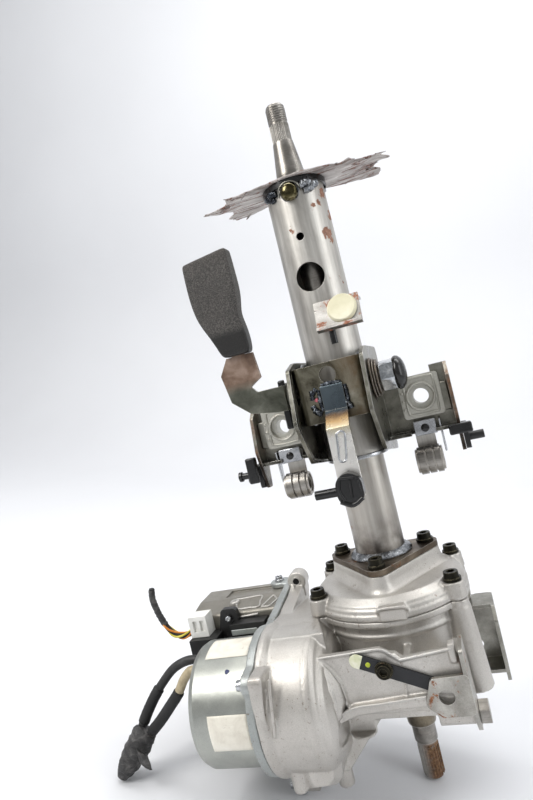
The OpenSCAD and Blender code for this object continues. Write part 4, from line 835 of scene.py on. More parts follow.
def fused_casting(name, node, extras, slot, rounds=3, cuts=()):
    """A casting made of its solid and added ribs or bosses, melted together with filleted edges."""
    bm = bmesh.new()
    bm.from_mesh(carved(node, cuts) if cuts else NODES[node].data)
    for verts, faces in extras:
        made = [bm.verts.new(spot(*v)) for v in verts]
        fresh = [bm.faces.new([made[i] for i in face]) for face in faces]
        bmesh.ops.recalc_face_normals(bm, faces=fresh)
    mesh = bpy.data.meshes.new(name + "_raw")
    bm.to_mesh(mesh)
    bm.free()
    raw = shown(bpy.data.objects.new(name + "_raw", mesh))
    melt = raw.modifiers.new("melt", "REMESH")
    melt.mode = "VOXEL"
    melt.voxel_size = 0.0008
    soften = raw.modifiers.new("soften", "SMOOTH")
    soften.factor = 0.5
    soften.iterations = rounds
    lighten = raw.modifiers.new("lighten", "DECIMATE")
    lighten.ratio = 0.3
    fused = baked(raw)
    fused.name = name
    fused.materials.clear()
    fused.materials.append(LOOKS[slot])
    fused.polygons.foreach_set("use_smooth", [True] * len(fused.polygons))
    obj = shown(bpy.data.objects.new(name, fused))
    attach(obj, "column")
    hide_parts(node)


# Leads

LEAD_POINTS = 32


def cord_curve(name, route, diameter, slot, node):
    """A lead as one smooth curve along its route, standing for its solid."""
    points = [spot(*p) for p in smooth_path(route, LEAD_POINTS)]
    data = bpy.data.curves.new(name, "CURVE")
    data.dimensions = "3D"
    line = data.splines.new("POLY")
    line.points.add(LEAD_POINTS - 1)
    for item, p in zip(line.points, points):
        item.co = (*p, 1)
    line.use_smooth = True
    data.bevel_depth = diameter / 2000
    data.bevel_resolution = 5
    data.use_fill_caps = True
    data.materials.append(LOOKS[slot])
    obj = shown(bpy.data.objects.new(name, data))
    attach(obj, "column")
    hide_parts(node)
    return obj, points


DARK_ROUTE = [(-166.8, -42.25, 138), (-182, -42.5, 139), (-197, -44, 134), (-209.5, -47.5, 123.5),
              (-218.5, -51, 113.5), (-226, -55, 103), (-231.2, -58.9, 93.9)]
LIGHT_ROUTE = [(-166.8, -62.25, 139), (-171.5, -62.3, 138.6), (-179, -62.5, 132), (-187, -62.7, 121),
               (-197, -63, 111), (-209, -63.5, 99.5), (-220.3, -64.1, 90.2)]
STUB_ROUTE = [(-227, -62, 91.5), (-233, -65.5, 82.5), (-240, -69.5, 73.5), (-246, -73.5, 66.5),
              (-251, -77, 59.5)]
STUB_RADII = [10.7, 11.5, 11.5, 9.5, 5]
WIRE_ROUTE = [(-188.4, -11, 152), (-193, -11, 149.5), (-199.5, -11, 148.5), (-206, -11, 150.5),
              (-211.5, -11.2, 155.5), (-215.3, -11.6, 162.5), (-218.2, -12, 170.5), (-220.2, -12.4, 179),
              (-221.2, -12.7, 188), (-219.6, -13, 197.5)]


def part_of(line, start, stop):
    """Stretch of a line between two shares of its length."""
    return line[int(start * (len(line) - 1)):int(stop * (len(line) - 1)) + 1]


def sleeve(name, route, start, stop, radius):
    """Ribbed sleeve over a stretch of a lead."""
    line = part_of(smooth_path(route, 120), start, stop)
    verts, faces = tube(line, lambda t: radius * (1 if 0.02 < t < 0.98 else 0.86), 16,
                        lambda t, a: 0.14 * noise.noise(Vector((t * 14, cos(a), sin(a)))))
    return piece(name, verts, faces, "black_rubber", sharp=80)


def taped_end():
    """Wrinkled cloth tape round the joined cable ends, with a torn flap and overlapping turns."""
    line = smooth_path(STUB_ROUTE, 60)

    def radius(t):
        s = t * (len(STUB_RADII) - 1)
        i = min(int(s), len(STUB_RADII) - 2)
        base = STUB_RADII[i] + (STUB_RADII[i + 1] - STUB_RADII[i]) * (s - i)
        return base * (1 if t > 0.05 else 0.8 + 4 * t) - 0.7

    def wrinkle(t, a):
        turn = (t * 5.5 + a / (2 * pi)) % 1.0
        lump = noise.noise(Vector((t * 9, cos(a) * 1.6, sin(a) * 1.6)))
        crease = abs(noise.noise(Vector((t * 30, cos(a) * 4, sin(a) * 4 + 7))))
        fade = min(1.0, (1 - t) * 6)
        return (0.8 * turn + 0.9 * lump - 1.1 * crease) * fade

    verts, faces = tube(line, radius, 40, wrinkle)
    wrap = piece("tape_wrap", verts, faces, "tape", instead=("tape_stub",), sharp=80)
    flap_rows = []
    for i in range(9):
        u = i / 8
        for k in range(7):
            v = k / 6
            lift = 3.5 * sin(u * 2.2) + 1.2 * noise.noise(Vector((u * 4, v * 3, 2)))
            drop = 84 - 7 * u - 9 * v + 2 * sin(5 * v + u)
            flap_rows.append((-231 + 12 * u + 2 * v, -76.5 - lift - 1.5 * v, drop))
    flap = piece("tape_flap", flap_rows, grid_faces(9, 7), "tape", sharp=80)
    return [wrap, thickened(flap, 0.0005)]


def make_leads():
    """The two power leads with sleeves and tape, and the signal lead with its strands."""
    ends = taped_end()
    dark, points = cord_curve("power_lead_dark", DARK_ROUTE, 8, "dark_sheath", "power_cable_dark")
    dark_sleeve = sleeve("dark_lead_sleeve", DARK_ROUTE, 0.62, 0.99, 4.9)
    light, points = cord_curve("power_lead_light", LIGHT_ROUTE, 8, "light_sheath", "power_cable_light")
    light_sleeve = sleeve("light_lead_sleeve", LIGHT_ROUTE, 0.36, 1.0, 4.8)
    bundle, points = cord_curve("signal_lead", WIRE_ROUTE, 5, "black_rubber", "signal_wires")
    line = smooth_path(WIRE_ROUTE, 200)
    for i, (look, end) in enumerate(((None, 0.5), ("wire_yellow", 0.46), (None, 0.42),
                                     ("wire_yellow", 0.5))):
        run = part_of(line, 0.0, end)
        twisted = []
        for k, p in enumerate(run):
            a = i * pi / 2 + 0.035 * k
            spread = 2.3 + 0.9 * sin(pi * k / len(run)) * (0.5 + 0.5 * sin(i * 2.1))
            twisted.append(Vector((p.x, p.y + spread * cos(a), p.z + spread * sin(a))))
        verts, faces = tube(twisted[::3], 0.95, 8)
        piece(f"signal_strand_{i + 1}", verts, faces, "wire_orange", look=look, sharp=80)
    wraps = part_of(line, 0.47, 0.985)

    def turns(t, a):
        lump = noise.noise(Vector((t * 22, cos(a) * 2, sin(a) * 2)))
        return 0.35 * ((t * 9 + a / (2 * pi)) % 1.0) + 0.25 * lump

    piece("signal_lead_tape", *tube(wraps, 2.85, 20, turns), "tape", sharp=80)


make_leads()


# Steering shaft and top of the tube

def wheel_thread():
    """Helical ridge of the wheel nut's thread."""
    pitch = 2.0
    steps = 28
    low, high = 573.6, 588.6
    count = int((high - low) / pitch * steps)
    rows = []
    for i in range(count + 1):
        a = 2 * pi * i / steps
        z = low + pitch * i / steps
        fade = min(1.0, i / 10, (count - i) / 22)
        for r, h in ((7.8, -0.92), (7.86 + 0.6 * fade, -0.12), (7.86 + 0.6 * fade, 0.12), (7.8, 0.92)):
            rows.append((r * cos(a), r * sin(a), z + h))
    piece("wheel_thread_ridge", rows, rings_to_faces(count + 1, 4), "machined_steel", "steering", sharp=25)


def torn_outline(points, seed):
    """Outline with small torn notches and points between the given corners."""
    rng = random.Random(seed)
    out = []
    for i, p in enumerate(points):
        q = points[(i + 1) % len(points)]
        long = hypot(q[0] - p[0], q[1] - p[1])
        n = max(1, int(long / 4.5))
        nx, ny = (q[1] - p[1]) / long, -(q[0] - p[0]) / long
        out.append(p)
        for k in range(1, n):
            t = (k + rng.uniform(-0.25, 0.25)) / n
            d = rng.choice((-1.4, -0.8, -0.2, 0.4, 0.8))
            out.append((p[0] + (q[0] - p[0]) * t + nx * d, p[1] + (q[1] - p[1]) * t + ny * d))
    return out


def torn_plate():
    """Torn shroud sheet with a jagged edge, waves and lifted slivers."""
    outline = torn_outline([(-83, -4), (-72, -7), (-61, -10), (-56, -22), (-41, -23), (-22, -26), (-4, -29),
                            (14, -28), (28, -24), (45, -17), (52, -20), (56, -11), (76, -4), (83, 5),
                            (72, 7), (67, 20), (73, 31), (70, 41), (55, 39), (38, 33), (20, 30), (0, 29),
                            (-33, 27), (-49, 33), (-66, 35), (-70, 25), (-63, 19), (-60, 8), (-64, 3),
                            (-75, -1)], 4)
    bm = bmesh.new()
    hole = [(21 * cos(2 * pi * k / 40), 21 * sin(2 * pi * k / 40)) for k in range(40)]
    edges = []
    for loop in (outline, hole):
        ring = [bm.verts.new((x, y, 0)) for x, y in loop]
        edges += [bm.edges.new((ring[i], ring[(i + 1) % len(ring)])) for i in range(len(ring))]
    bmesh.ops.triangle_fill(bm, edges=edges, use_beauty=True)
    bmesh.ops.subdivide_edges(bm, edges=bm.edges[:], cuts=2, use_grid_fill=True)
    for v in bm.verts:
        out = max(0.0, hypot(v.co.x, v.co.y) - 30) / 45
        ripple = noise.noise(v.co * 0.12 + Vector((5, 5, 0)))
        v.co.z = out * (2.2 * noise.noise(v.co * 0.035) + 1.1 * ripple)
    mesh = bpy.data.meshes.new("torn_plate")
    bm.to_mesh(mesh)
    bm.free()
    verts = [(v.co.x, v.co.y, PLATE_Z + v.co.z) for v in mesh.vertices]
    faces = [tuple(p.vertices) for p in mesh.polygons]
    sheet = piece("torn_plate_sheet", verts, faces, "raw_steel", look="torn_sheet", instead=("top_plate",),
                  sharp=60)
    thickened(sheet, 0.0016, 0)
    rng = random.Random(11)
    rows = []
    faces = []
    for i in range(0, len(outline), 3):
        x, y = outline[i]
        if abs(x) < 40:
            continue
        away = Vector((x * 1.6, y * 0.6, 0)).normalized()
        away.rotate(Matrix.Rotation(rng.uniform(-0.9, 0.9), 3, "Z"))
        side = Vector((-away.y, away.x, 0))
        reach = min(rng.uniform(2, 5), 1.5)
        wide = rng.uniform(0.7, 1.9)
        z = PLATE_Z + rng.uniform(-1.8, 1.4)
        root = Vector((x, y, z)) - away * rng.uniform(6, 14)
        tip = Vector((x, y, z + rng.uniform(-2.4, 1.8))) + away * reach
        n = len(rows)
        mid = root.lerp(tip, 0.6) + Vector((0, 0, rng.uniform(-0.8, 0.8)))
        for p, w, t in ((root, wide, 0.45), (mid, wide * 0.7, 0.4), (tip, 0.25, 0.12)):
            for across, up in ((w, t), (-w, t), (-w, -t), (w, -t)):
                rows.append(tuple(p + side * across + Vector((0, 0, up))))
        faces += [tuple(n + v for v in face) for face in rings_to_faces(3, 4)]
    piece("torn_plate_slivers", rows, faces, "raw_steel", look="torn_sheet", sharp=30)


def collar_welds():
    """Lumpy welds under the sheet, and the plated dome in its recessed seat, with a dark ring of painted
    shade round it, and a bright edge.
    """
    runs = ((-150, -112, 510.5, 3.0), (-142, -120, 507, 2.4), (-70, -34, 511, 4.0),
            (-64, -40, 506.2, 3.1), (20, 62, 512, 2.4), (118, 160, 512, 2.4))
    for i, (start, stop, z, size) in enumerate(runs):
        run = [(*polar(25.6, a), z + 0.9 * sin(a)) for a in range(start, stop + 1, 5)]
        bead(f"collar_weld_{i + 1}", run, size, i, 0.5, "dark_weld" if i < 2 else "weld")
    # Painted shade: a dark ring stands for the shaded gap round the peg dome.
    shade_ring = ring_lathe("Y", PEG, [(6.4, -2.6), (8.0, -2.6), (7.9, -0.4), (6.4, -0.2)], 40)
    piece("peg_recess_shade", *shade_ring, "black_plastic", look="dark_weld")
    dome = [(7.2, -1), (7.5, 1.6), (7.3, 3.2), (6.6, 4.8), (5.0, 6.2), (2.6, 7.0), (0.05, 7.3)]
    piece("peg_dome", *lathe("Y", PEG, dome, 44), "zinc", instead=("lock_peg",), sharp=70)
    edge = []
    for a in range(0, 181, 12):
        x = 9.8 * cos(radians(a))
        z = 506 + 9.2 * sin(radians(a))
        edge.append((x, -sqrt((25.4 + 2.6 * min(1, max(0, (z - 508) / 4))) ** 2 - x * x), z))
    piece("recess_edge", *rod(edge, 0.8, 50), "raw_steel", look="rim_steel", sharp=80)


def output_collar():
    """Brown collar above the journal, bright sleeve on the journal and serrations round the tip."""
    profile = [(9.3, 46.6), (11.2, 47.0), (12.2, 48.2), (12.4, 52), (12.4, 84.6)]
    piece("output_collar", *lathe("Z", AXIS, profile, 64), "rusty_steel", "steering", "collar")
    ribs = []
    for k in range(22):
        a = 2 * pi * k / 22
        c, s = cos(a), sin(a)
        ribs.append(rod([(8.6 * c, 8.6 * s, z) for z in (2.0, 15, 27.5)], 0.55, 8, 6))
    piece("tip_serrations", *joined(ribs), "rusty_steel", "steering", sharp=80)
    section = [(8.9, 31.2), (9.7, 31.6), (9.9, 32.6), (9.9, 45.6), (9.6, 46.4), (8.9, 46.6)]
    journal = ring_lathe("Z", AXIS, section, 64)
    piece("journal_sleeve", *journal, "rusty_steel", "steering", "machined_steel")


wheel_thread()
output_collar()
torn_plate()
collar_welds()


# Lever handle

def lever_grip():
    """Moulded grip lofted through rounded sections from the tang up to the broad head."""
    levels = [(386.4, -75.5, -58.5, 5.0), (386.9, -77.5, -56.6, 6.0), (389, -79.6, -55.2, 6.5),
              (396, -82, -54.7, 6.7), (405, -85.6, -55.2, 6.9), (411, -88.6, -56.2, 7.0),
              (417, -91.0, -57.2, 7.3), (422, -92.6, -57.3, 7.9), (429, -93.8, -55.8, 8.4),
              (436, -94.5, -54.6, 8.6), (446, -94.9, -54.6, 8.6), (457, -95, -55.0, 8.4),
              (466, -94.9, -55.2, 8.1), (469.2, -94.7, -55.4, 7.8), (470.4, -94.3, -55.8, 7.3),
              (471.0, -93.4, -56.7, 6.4), (471.2, -90, -60, 4.0)]
    rings = []
    for z, left, right, thick in levels:
        ring = []
        for k in range(56):
            a = 2 * pi * k / 56
            c, s = cos(a), sin(a)
            e = 2 / 9
            x = (left + right) / 2 + (right - left) / 2 * copysign(abs(c) ** e, c)
            y = -51.5 + thick * copysign(abs(s) ** e, s)
            ring.append((x, y, z + 0.11 * (x + 66) * min(1.0, max(0.0, (z - 430) / 25))))
        rings.append(ring)
    verts, faces = loft(rings)
    grip_piece = piece("lever_grip", verts, faces, "handle_plastic", "lever", instead=("lever_handle",),
                       sharp=180)
    crown = grip_piece.modifiers.new("crown", "SUBSURF")
    crown.levels = 1
    crown.render_levels = 1


lever_grip()


# Gearbox castings

FLANGE_BOLTS = [polar(39, a) for a in (-90, 20, 160)]
COVER_BOLTS = [polar(64, a) for a in (-32, 32, 148, 212)]


def cover_casting():
    """Cover with its seat flowing into the dome, beaded rim and long bolt columns."""
    seat = [(177.4, 15.8), (179.0, 13.2), (181.5, 11.5), (185, 10.5), (190.7, 10.0)]
    extras = [loft([[(x, y, z) for x, y in grown(FLANGE_BOLTS, r)] for z, r in seat])]
    extras.append(ring_lathe("Z", AXIS, [(61, 168.2), (63.6, 168.2), (63.6, 170.4), (61, 172)], 96))
    ledge = [(-3, -62.5, 168), (-2.8, -66, 170.5), (-1, -66.8, 173), (16.4, -66.4, 173), (18.6, -65, 170.5),
             (18.8, -60.5, 168)]
    extras.append(rod(ledge, 1.3, 40))
    for x, y in COVER_BOLTS:
        extras.append(ring_lathe("Z", (x, y, 0), [(8.2, 164), (9.6, 164), (9.0, 170), (8.2, 175.5)], 28))
    fused_casting("gear_cover_casting", "gear_cover", extras, "die_cast")


def bell_details():
    """Neck to the ear, tapered lug with its fin, flange ring, rounded end and foot of the bell."""
    neck = ((-74, -46, 163.2), (-40, -57, 162.6), (0, -72, 158.5), (28, -82, 153.5), (42, -86, 150.5))
    shapes = []
    rings = [[(-97.4, y, 126), (right, y, 126), (right, y, top), (-97.4, y, top)] for y, right, top in neck]
    shapes.append(loft(rings))
    shapes.append(lathe("Y", (EAR_X, 46, 170.4), [(8, 0), (9, 1), (9, 15.5), (8.2, 16.5)], 32))
    shapes.append(block((-98, -84.5), (29.8, 40), (156, 169)))
    shapes.append(side_slab([(34, 170), (34, 146), (-26, 151)], -97.6, -93.6))
    lug = ((107, -98, -92, -116, -100), (135, -98, -88.6, -117, -98), (149.5, -98, -86.6, -116.6, -96),
           (152.8, -97.4, -87.4, -115, -97), (153.8, -95.5, -89.5, -112, -99))
    shapes.append(loft([[(l, f, z), (r, f, z), (r, b, z), (l, b, z)] for z, l, r, f, b in lug]))
    shapes.append(rod([(-82.2, -111.5, 150.5), (-82.8, -115.4, 138), (-84.4, -116.6, 122),
                       (-86.5, -116, 110)], 1.5, 40))
    end = [(20, -60), (53.1, -60), (52.6, -56), (50, -52.8), (44, -50.4), (36, -47), (28, -44), (20, -43)]
    shapes.append(ring_lathe("X", WORM, end, 72))
    section = [(52.5, -97.4), (56, -97.4), (56, -93), (54.4, -90), (52.5, -88)]
    shapes.append(ring_lathe("X", WORM, section, 72))
    # Foot and web under the bell
    full = [(-95, 78), (-93, 56), (-88, 52), (-58, 55), (-53, 60), (-46, 94), (-70, 98)]
    front = [(-75, 84), (-74, 64), (-71, 60), (-62, 61), (-57, 66), (-50, 93), (-64, 97)]
    foot = ((front, -98), (full, -88), (full, -52))
    shapes.append(loft([[(x, y, z) for x, z in ring] for ring, y in foot]))
    shapes.append(lathe("Z", (-85.5, -91.5, 0), [(4.6, 53.5), (5.8, 55), (6.2, 76), (5.4, 84)], 28))
    shapes.append(front_slab([(-60, 52), (-52, 52), (-10, 101), (-60, 101)], -70, -66))
    return shapes


def panel_details():
    """Raised edges, ledge and lower band of the front panel, and the pocket beside it."""
    face = [(-51, 138), (-51, 150), (-4.5, 152.2), (3.5, 147.6), (8.5, 143.4), (46, 147.5), (46, 134)]
    shapes = [front_slab(face, -86.25, -80.5)]
    shapes.append(rod([(-51, -86.2, 149.6), (-27, -86.3, 151), (-4.5, -86.3, 152), (3.5, -86.3, 147.4),
                       (8.5, -86.3, 143.4)], 1.2))
    shapes.append(rod([(8.5, -86.6, 143.4), (28, -86.8, 145.8), (46, -86.8, 148)], 1.5))
    shapes.append(block((43.5, 48.4), (-88.6, -80), (138, 151.5)))
    shapes.append(rod([(-50.6, -86.8, 149), (-42.8, -86.8, 139.6), (-37.9, -87, 130.4),
                       (-36.4, -87.2, 113)], 1.5))
    shapes.append(rod([(9.4, -86.5, 128), (7.8, -86.5, 116)], 0.9))
    band = ((-60, 101.2, 94, -90), (-45, 107.8, 100.6, -90.5), (-30.4, 113.4, 106, -90.8),
            (-12, 114.8, 107.4, -90.8), (6, 116.4, 108.4, -90.8), (22, 117.4, 109.2, -90.4),
            (28, 116.6, 108.6, -87.4), (49, 113, 106.4, -87.4))
    rings = [[(x, f, top), (x, -82, top + 1.5), (x, -79, low), (x, f + 1.6, low)]
             for x, top, low, f in band]
    shapes.append(loft(rings))
    edges = [rod([(x, f + 0.3, top - 0.4) for x, top, low, f in band[:6]], 1.0, 60, 10)]
    edges.append(rod([(-51.5, -87, 149.4), (-43.4, -87, 140.0), (-38.3, -87.2, 130.4), (-36.6, -87.6, 114)],
                     1.1, 50, 10))
    edges.append(rod([(-51, -86.6, 149.8), (-27, -86.7, 151.2), (-4.5, -86.7, 152.3), (3.5, -86.7, 147.7),
                      (8.5, -86.7, 143.6)], 0.9, 60, 10))
    edges.append(rod([(8.5, -87.4, 143.6), (28, -87.7, 146), (46, -87.7, 148.2)], 1.1, 40, 10))
    piece("panel_edges", *joined(edges), "die_cast", look="casting_edge", sharp=80)
    pocket_floor()
    return shapes


def pocket_floor():
    """Sloping floor of the pocket between bell and panel, with two ribs down it."""
    levels = [(148.5, -50.5, -90, -50.4, -87), (140, -52, -99, -43.6, -87),
              (130, -52.5, -105, -38.4, -87.2), (118, -52.5, -108, -36.9, -87.6),
              (107, -53, -108.5, -42, -90.2), (99.5, -55, -107, -54, -96)]
    rows = []
    for z, left, front, right, back in levels:
        for k in range(10):
            s = k / 9
            dip = 1.4 * sin(pi * s)
            rows.append((left + (right - left) * s - dip, front + (back - front) * s + dip * 0.5, z))
    thickened(piece("pocket_floor", rows, grid_faces(6, 10), "die_cast", sharp=80), 0.0012)
    ribs = [rod([rows[i * 10 + k] for i in range(1, 5)], 1.2, 40, 8) for k in (3, 6)]
    piece("pocket_ribs", *joined(ribs), "die_cast", look="casting_edge", sharp=80)


def housing_casting():
    """Housing with tapered bolt columns, bell and front panel; the room under the panel is cut free."""
    extras = bell_details() + panel_details()
    for i, (x, y) in enumerate(COVER_BOLTS):
        column = [(4, 128), (8.2, 136), (9.2, 156)] if i else [(13, 92), (12.6, 96), (9.4, 156)]
        extras.append(lathe("Z", (x, y, 0), column, 28))
    extras.append(ring_lathe("Z", AXIS, [(59.5, 146.4), (61.2, 147.2), (61.2, 149.4), (59.5, 150.2)], 72))
    cuts = [block((-36, 56), (-96, -78), (84, 104.5)), block((-47, 56.5), (-96.5, -71.5), (84.5, 101.2))]
    fused_casting("gear_housing_casting", "gear_housing", extras, "die_cast", cuts=cuts)
    rim = [(3.0, -0.9), (4.6, -0.9), (4.4, 0.2), (3.6, 0.5), (3.0, 0.2)]
    piece("ear_hole_rim", *ring_lathe("Y", (EAR_X, 29.3, 171), rim, 28), "die_cast")
    # Painted shade: a black disc inside the ear hole stands for the shade in it.
    hole_shade = [(3.1, -0.8), (3.0, 0.1), (1.4, 0.0), (0.05, -0.05)]
    piece("ear_hole_shade", *lathe("Y", (EAR_X, 29.2, 171), hole_shade, 28), "black_plastic", look="gloss_black")


cover_casting()
housing_casting()
fused_casting("end_plate_casting", "end_plate", [], "light_cast", rounds=5)


# Welds on the flange and the tilt unit

def foot_weld():
    """Grainy bead round the tube's foot."""
    section = [(21.1, 196.2), (26.1, 196.2), (26.5, 196.9), (25.6, 198.4), (23.6, 200.2), (21.1, 201.2)]

    def grainy(a, h):
        lump = noise.noise(Vector((6 * cos(a), 6 * sin(a), h * 0.6)))
        return 0.14 * sin(a * 60) * (h < 200) + 0.55 * lump

    weld = ring_lathe("Z", AXIS, section, 220, grainy)
    piece("foot_weld_bead", *weld, "machined_steel", look="weld", sharp=80)


def tilt_details():
    """Welds of tongue and saddle, embossed slot, clip ridges, nut, cap, washers, cam tail and tube foot."""
    runs = [([(-11, -52.8, 345.5), (-15, -52.6, 342), (-16.5, -52.5, 337)], 2.3),
            ([(-16.5, -52.5, 333), (-15, -52.5, 328), (-11, -52.5, 324.5)], 2.4),
            ([(-9.6, -52.6, 344), (-9.9, -52.8, 335), (-9.4, -52.6, 327)], 1.7),
            ([(8.5, -52.6, 331), (11.5, -52.6, 328.5), (12.6, -52.6, 324.5)], 2.6),
            ([(11.4, -52.6, 344), (11.8, -52.6, 336), (11.4, -52.6, 330)], 1.7),
            ([(-7, -52.5, 347), (1, -52.9, 347.6), (9, -52.5, 346.6)], 1.6)]
    for i, (run, size) in enumerate(runs):
        bead(f"tongue_weld_{i + 1}", run, size, 20 + i, 0.75, "dark_weld")
    dot_of_paint("pink_mark", (-12.8, -52.0, 336.6), 1.7, "paint_pink", "tinted_steel", height=1.2)
    for i, side in enumerate((-1, 1)):
        for z in (317, 365.4):
            run = [(side * (24.6 - 0.4 * abs(t)), -18 + 6 * t, z) for t in (-1.6, -0.6, 0.4, 1.4)]
            bead(f"saddle_weld_{i}_{int(z)}", run, 1.8, 30 + i + int(z))
    corners = [(-1, 309), (2.4, 310.4), (5.2, 308), (4, 299), (2.2, 289.6), (-0.6, 287.6), (-3, 289.6),
               (-2, 299), (-1, 309)]
    loop = [(x, -67.5 - 2 * (313 - z) / 52, z) for x, z in corners]
    piece("tongue_emboss", *rod(loop, 0.95, 60), "tinted_steel", look="bright_zinc", sharp=80)
    ridges = [rod([(-5, -78.5, 277), (-6.6, -78.6, 268), (-4, -78.5, 260.5)], 1.3),
              rod([(-5, -78.5, 277), (6, -78.5, 276)], 1.3),
              rod([(2.6, -78.5, 275), (1.6, -78.5, 262)], 1.2),
              rod([(-7.5, -78, 260), (1, -78.6, 256.4), (9.6, -78, 260.5)], 1.8),
              rod([(8.4, -78.4, 274), (9, -78.4, 265)], 1.0)]
    piece("clip_ridges", *joined(ridges), "black_plastic", look="gloss_black", sharp=80)
    hexagon = []
    for x, r in ((37.5, 11.2), (38.4, 12.4), (49.0, 12.4), (50.2, 11.4)):
        corners = [polar(r, 60 * k + 12) for k in range(6)]
        hexagon.append([(x, CLAMP_Y + y, CLAMP_Z + z) for y, z in corners])
    softened(piece("nut_hexagon", *loft(hexagon), "bright_zinc", look="nut_chrome"), 0.5)
    ball = [(7, 48.8), (12.0, 49.2), (13.2, 50.6), (13.3, 52.2), (12.6, 54.0), (10.6, 55.8), (7.4, 57.2),
            (3.6, 57.9), (0.05, 58.1)]
    piece("nut_cap", *lathe("X", CLAMP, ball, 56), "black_bolt", look="gloss_black", sharp=60)
    stack = []
    for a, b, r in ((31.5, 33.3, 16.5), (33.7, 35.2, 15.4), (35.6, 37.3, 14.2)):
        section = [(8, a), (r - 0.5, a), (r, a + 0.4), (r, b - 0.4), (r - 0.5, b), (8, b)]
        stack.append(ring_lathe("X", CLAMP, section, 56))
    piece("washer_stack", *joined(stack), "bracket_steel", look="rusty_plate", sharp=50)
    tail = [(-47, 358), (-43, 359), (-42, 340), (-43.5, 324), (-46, 318.5), (-49, 319.5), (-48.5, 330),
            (-48, 345)]
    softened(piece("cam_tail", *side_slab(tail, -42.2, -37.0), "black_plastic", "lever", "gloss_black"),
             0.8)
    section = [(25.05, 280.4), (26.1, 280.6), (26.4, 282), (26.1, 283.6), (25.05, 284)]
    piece("tube_foot_ring", *ring_lathe("Z", AXIS, section, 72), "bright_zinc")


def bracket_details():
    """Rims of the arms, raised forms of the capsules, stirrup plates with rivets, fins and clip heads."""
    rim = [(-36, 364.6), (-48, 363), (-53.6, 357), (-63.6, 324), (-61.4, 315.5), (-44, 293.5), (-36, 289.6),
           (0, 283.4), (10, 281.8)]
    border = [(-12.4, 320), (-12.4, 332), (-9, 335), (9, 335), (12.4, 332), (12.4, 307), (9, 304.4),
              (-9, 304.4), (-12.4, 307), (-12.4, 320)]
    ring = [(10.1, -0.6), (12.6, -0.6), (12.5, 0.9), (11.8, 1.7), (10.8, 1.7), (10.1, 1.0)]
    stud = [(1.4, -0.4), (1.3, 0.5), (0.8, 0.9), (0.05, 1.0)]
    rivet = [(3.4, -0.2), (3.4, 0.6), (2.6, 1.3), (1.0, 1.6), (0.05, 1.6)]
    sides = (("left", -1, (-84.6, -76.6), (-70.4, -50.0), (-73.0, -71.4), (-98, -88.6), (276, 299)),
             ("right", 1, (76.6, 84.6), (50.5, 68.8), (71.4, 73.0), (78, 96), (283.5, 292)))
    on = "upper_bracket"
    for word, side, wing, plate, fin, head, level in sides:
        arm = rod([(side * 29.3, y, z) for y, z in rim], 1.6, 90, 10)
        piece(f"arm_rim_{word}", *arm, "bracket_steel", on, "rim_steel", sharp=80)
        x = side * 62
        frame_line = [(x + u, 4.9, z) for u, z in border]
        forms = [ring_lathe("Y", (x, 5, 319), ring, 48), rod(frame_line, 1.0, 110)]
        for z in (310, 317, 324):
            forms.append(lathe("Y", (x - 15.0, 5, z), stud, 16))
        piece(f"capsule_forms_{word}", *joined(forms), "light_cast", on, "capsule", sharp=70)
        shape = block(wing, (5.5, 11.8), (303, 327))
        softened(piece(f"capsule_wing_{word}", *shape, "light_cast", on, "bracket_steel"), 0.9)
        shape = joined([block(plate, (2.4, 4.6), (286.5, 299)), block(plate, (3, 12), (286.5, 288.6))])
        softened(piece(f"stirrup_plate_{word}", *shape, "bright_zinc", on), 0.6)
        shape = lathe("Y", (sum(plate) / 2, 2.4, 292.5), rivet, 28)
        piece(f"stirrup_rivet_{word}", *shape, "black_bolt", on, "gloss_black")
        shape = side_slab([(1, 298), (11, 299), (9, 274), (3, 270)], *fin)
        softened(piece(f"strap_fin_{word}", *shape, "bright_zinc", on), 0.4)
        shape = block(head, (-13, -6.6), level)
        softened(piece(f"clip_head_{word}", *shape, "black_plastic", on, "gloss_black"), 1.4, 3)
    stem = [(3.0, 1), (3.0, -5.4), (4.4, -6.0), (4.4, -8.6), (2.6, -9.4), (0.05, -9.4)]
    piece("clip_stem_left", *lathe("X", (-98, -9.8, 284), stem, 28), "black_plastic", on, "gloss_black")


def strap_stirrups():
    """Bright ribbed bands round the curled straps."""
    for i, x in enumerate((-58, 58)):
        bands = []
        for middle, half in ((-6.2, 3.0), (0.6, 2.6), (6.8, 2.4)):
            count = 26
            rows = []
            for k in range(count + 1):
                a = radians(-200 + 200 * k / count)
                for r in (10.3, 11.6):
                    for w in (-half, half):
                        rows.append((x + middle + w, 1.7 + r * sin(a), 266 + r * cos(a)))
            loop = []
            for k in range(count):
                b = 4 * k
                n = b + 4
                loop += [(b, b + 1, n + 1, n), (b + 2, n + 2, n + 3, b + 3)]
                loop += [(b, n, n + 2, b + 2), (b + 1, b + 3, n + 3, n + 1)]
            loop += [(0, 2, 3, 1), (4 * count, 4 * count + 1, 4 * count + 3, 4 * count + 2)]
            bands.append((rows, loop))
        look = "machined_steel"
        softened(piece(f"strap_bands_{i + 1}", *joined(bands), "bright_zinc", "upper_bracket", look), 0.3)


foot_weld()
tilt_details()
bracket_details()
strap_stirrups()


# Motor labels and paint marks

def can_label(name, left, right, low, high, lift):
    """Bare label round the can between two angles from the front, with a slightly raised corner."""
    rows = []
    across, around = 14, 16
    for i in range(across + 1):
        for k in range(around + 1):
            x = left + (right - left) * i / across
            a = radians(low + (high - low) * k / around)
            corner = max(0.0, i / across + k / around - 1.72)
            r = CAN_RADIUS + 0.12 + 0.08 * noise.noise(Vector((x * 0.2, a * 5, 1))) + lift * corner
            rows.append((x, WORM_Y - r * cos(a), WORM_Z + r * sin(a)))
    faces = grid_faces(across + 1, around + 1)
    thickened(piece(name, rows, faces, "cream_plastic", look="label", sharp=80), 0.00016, 1)


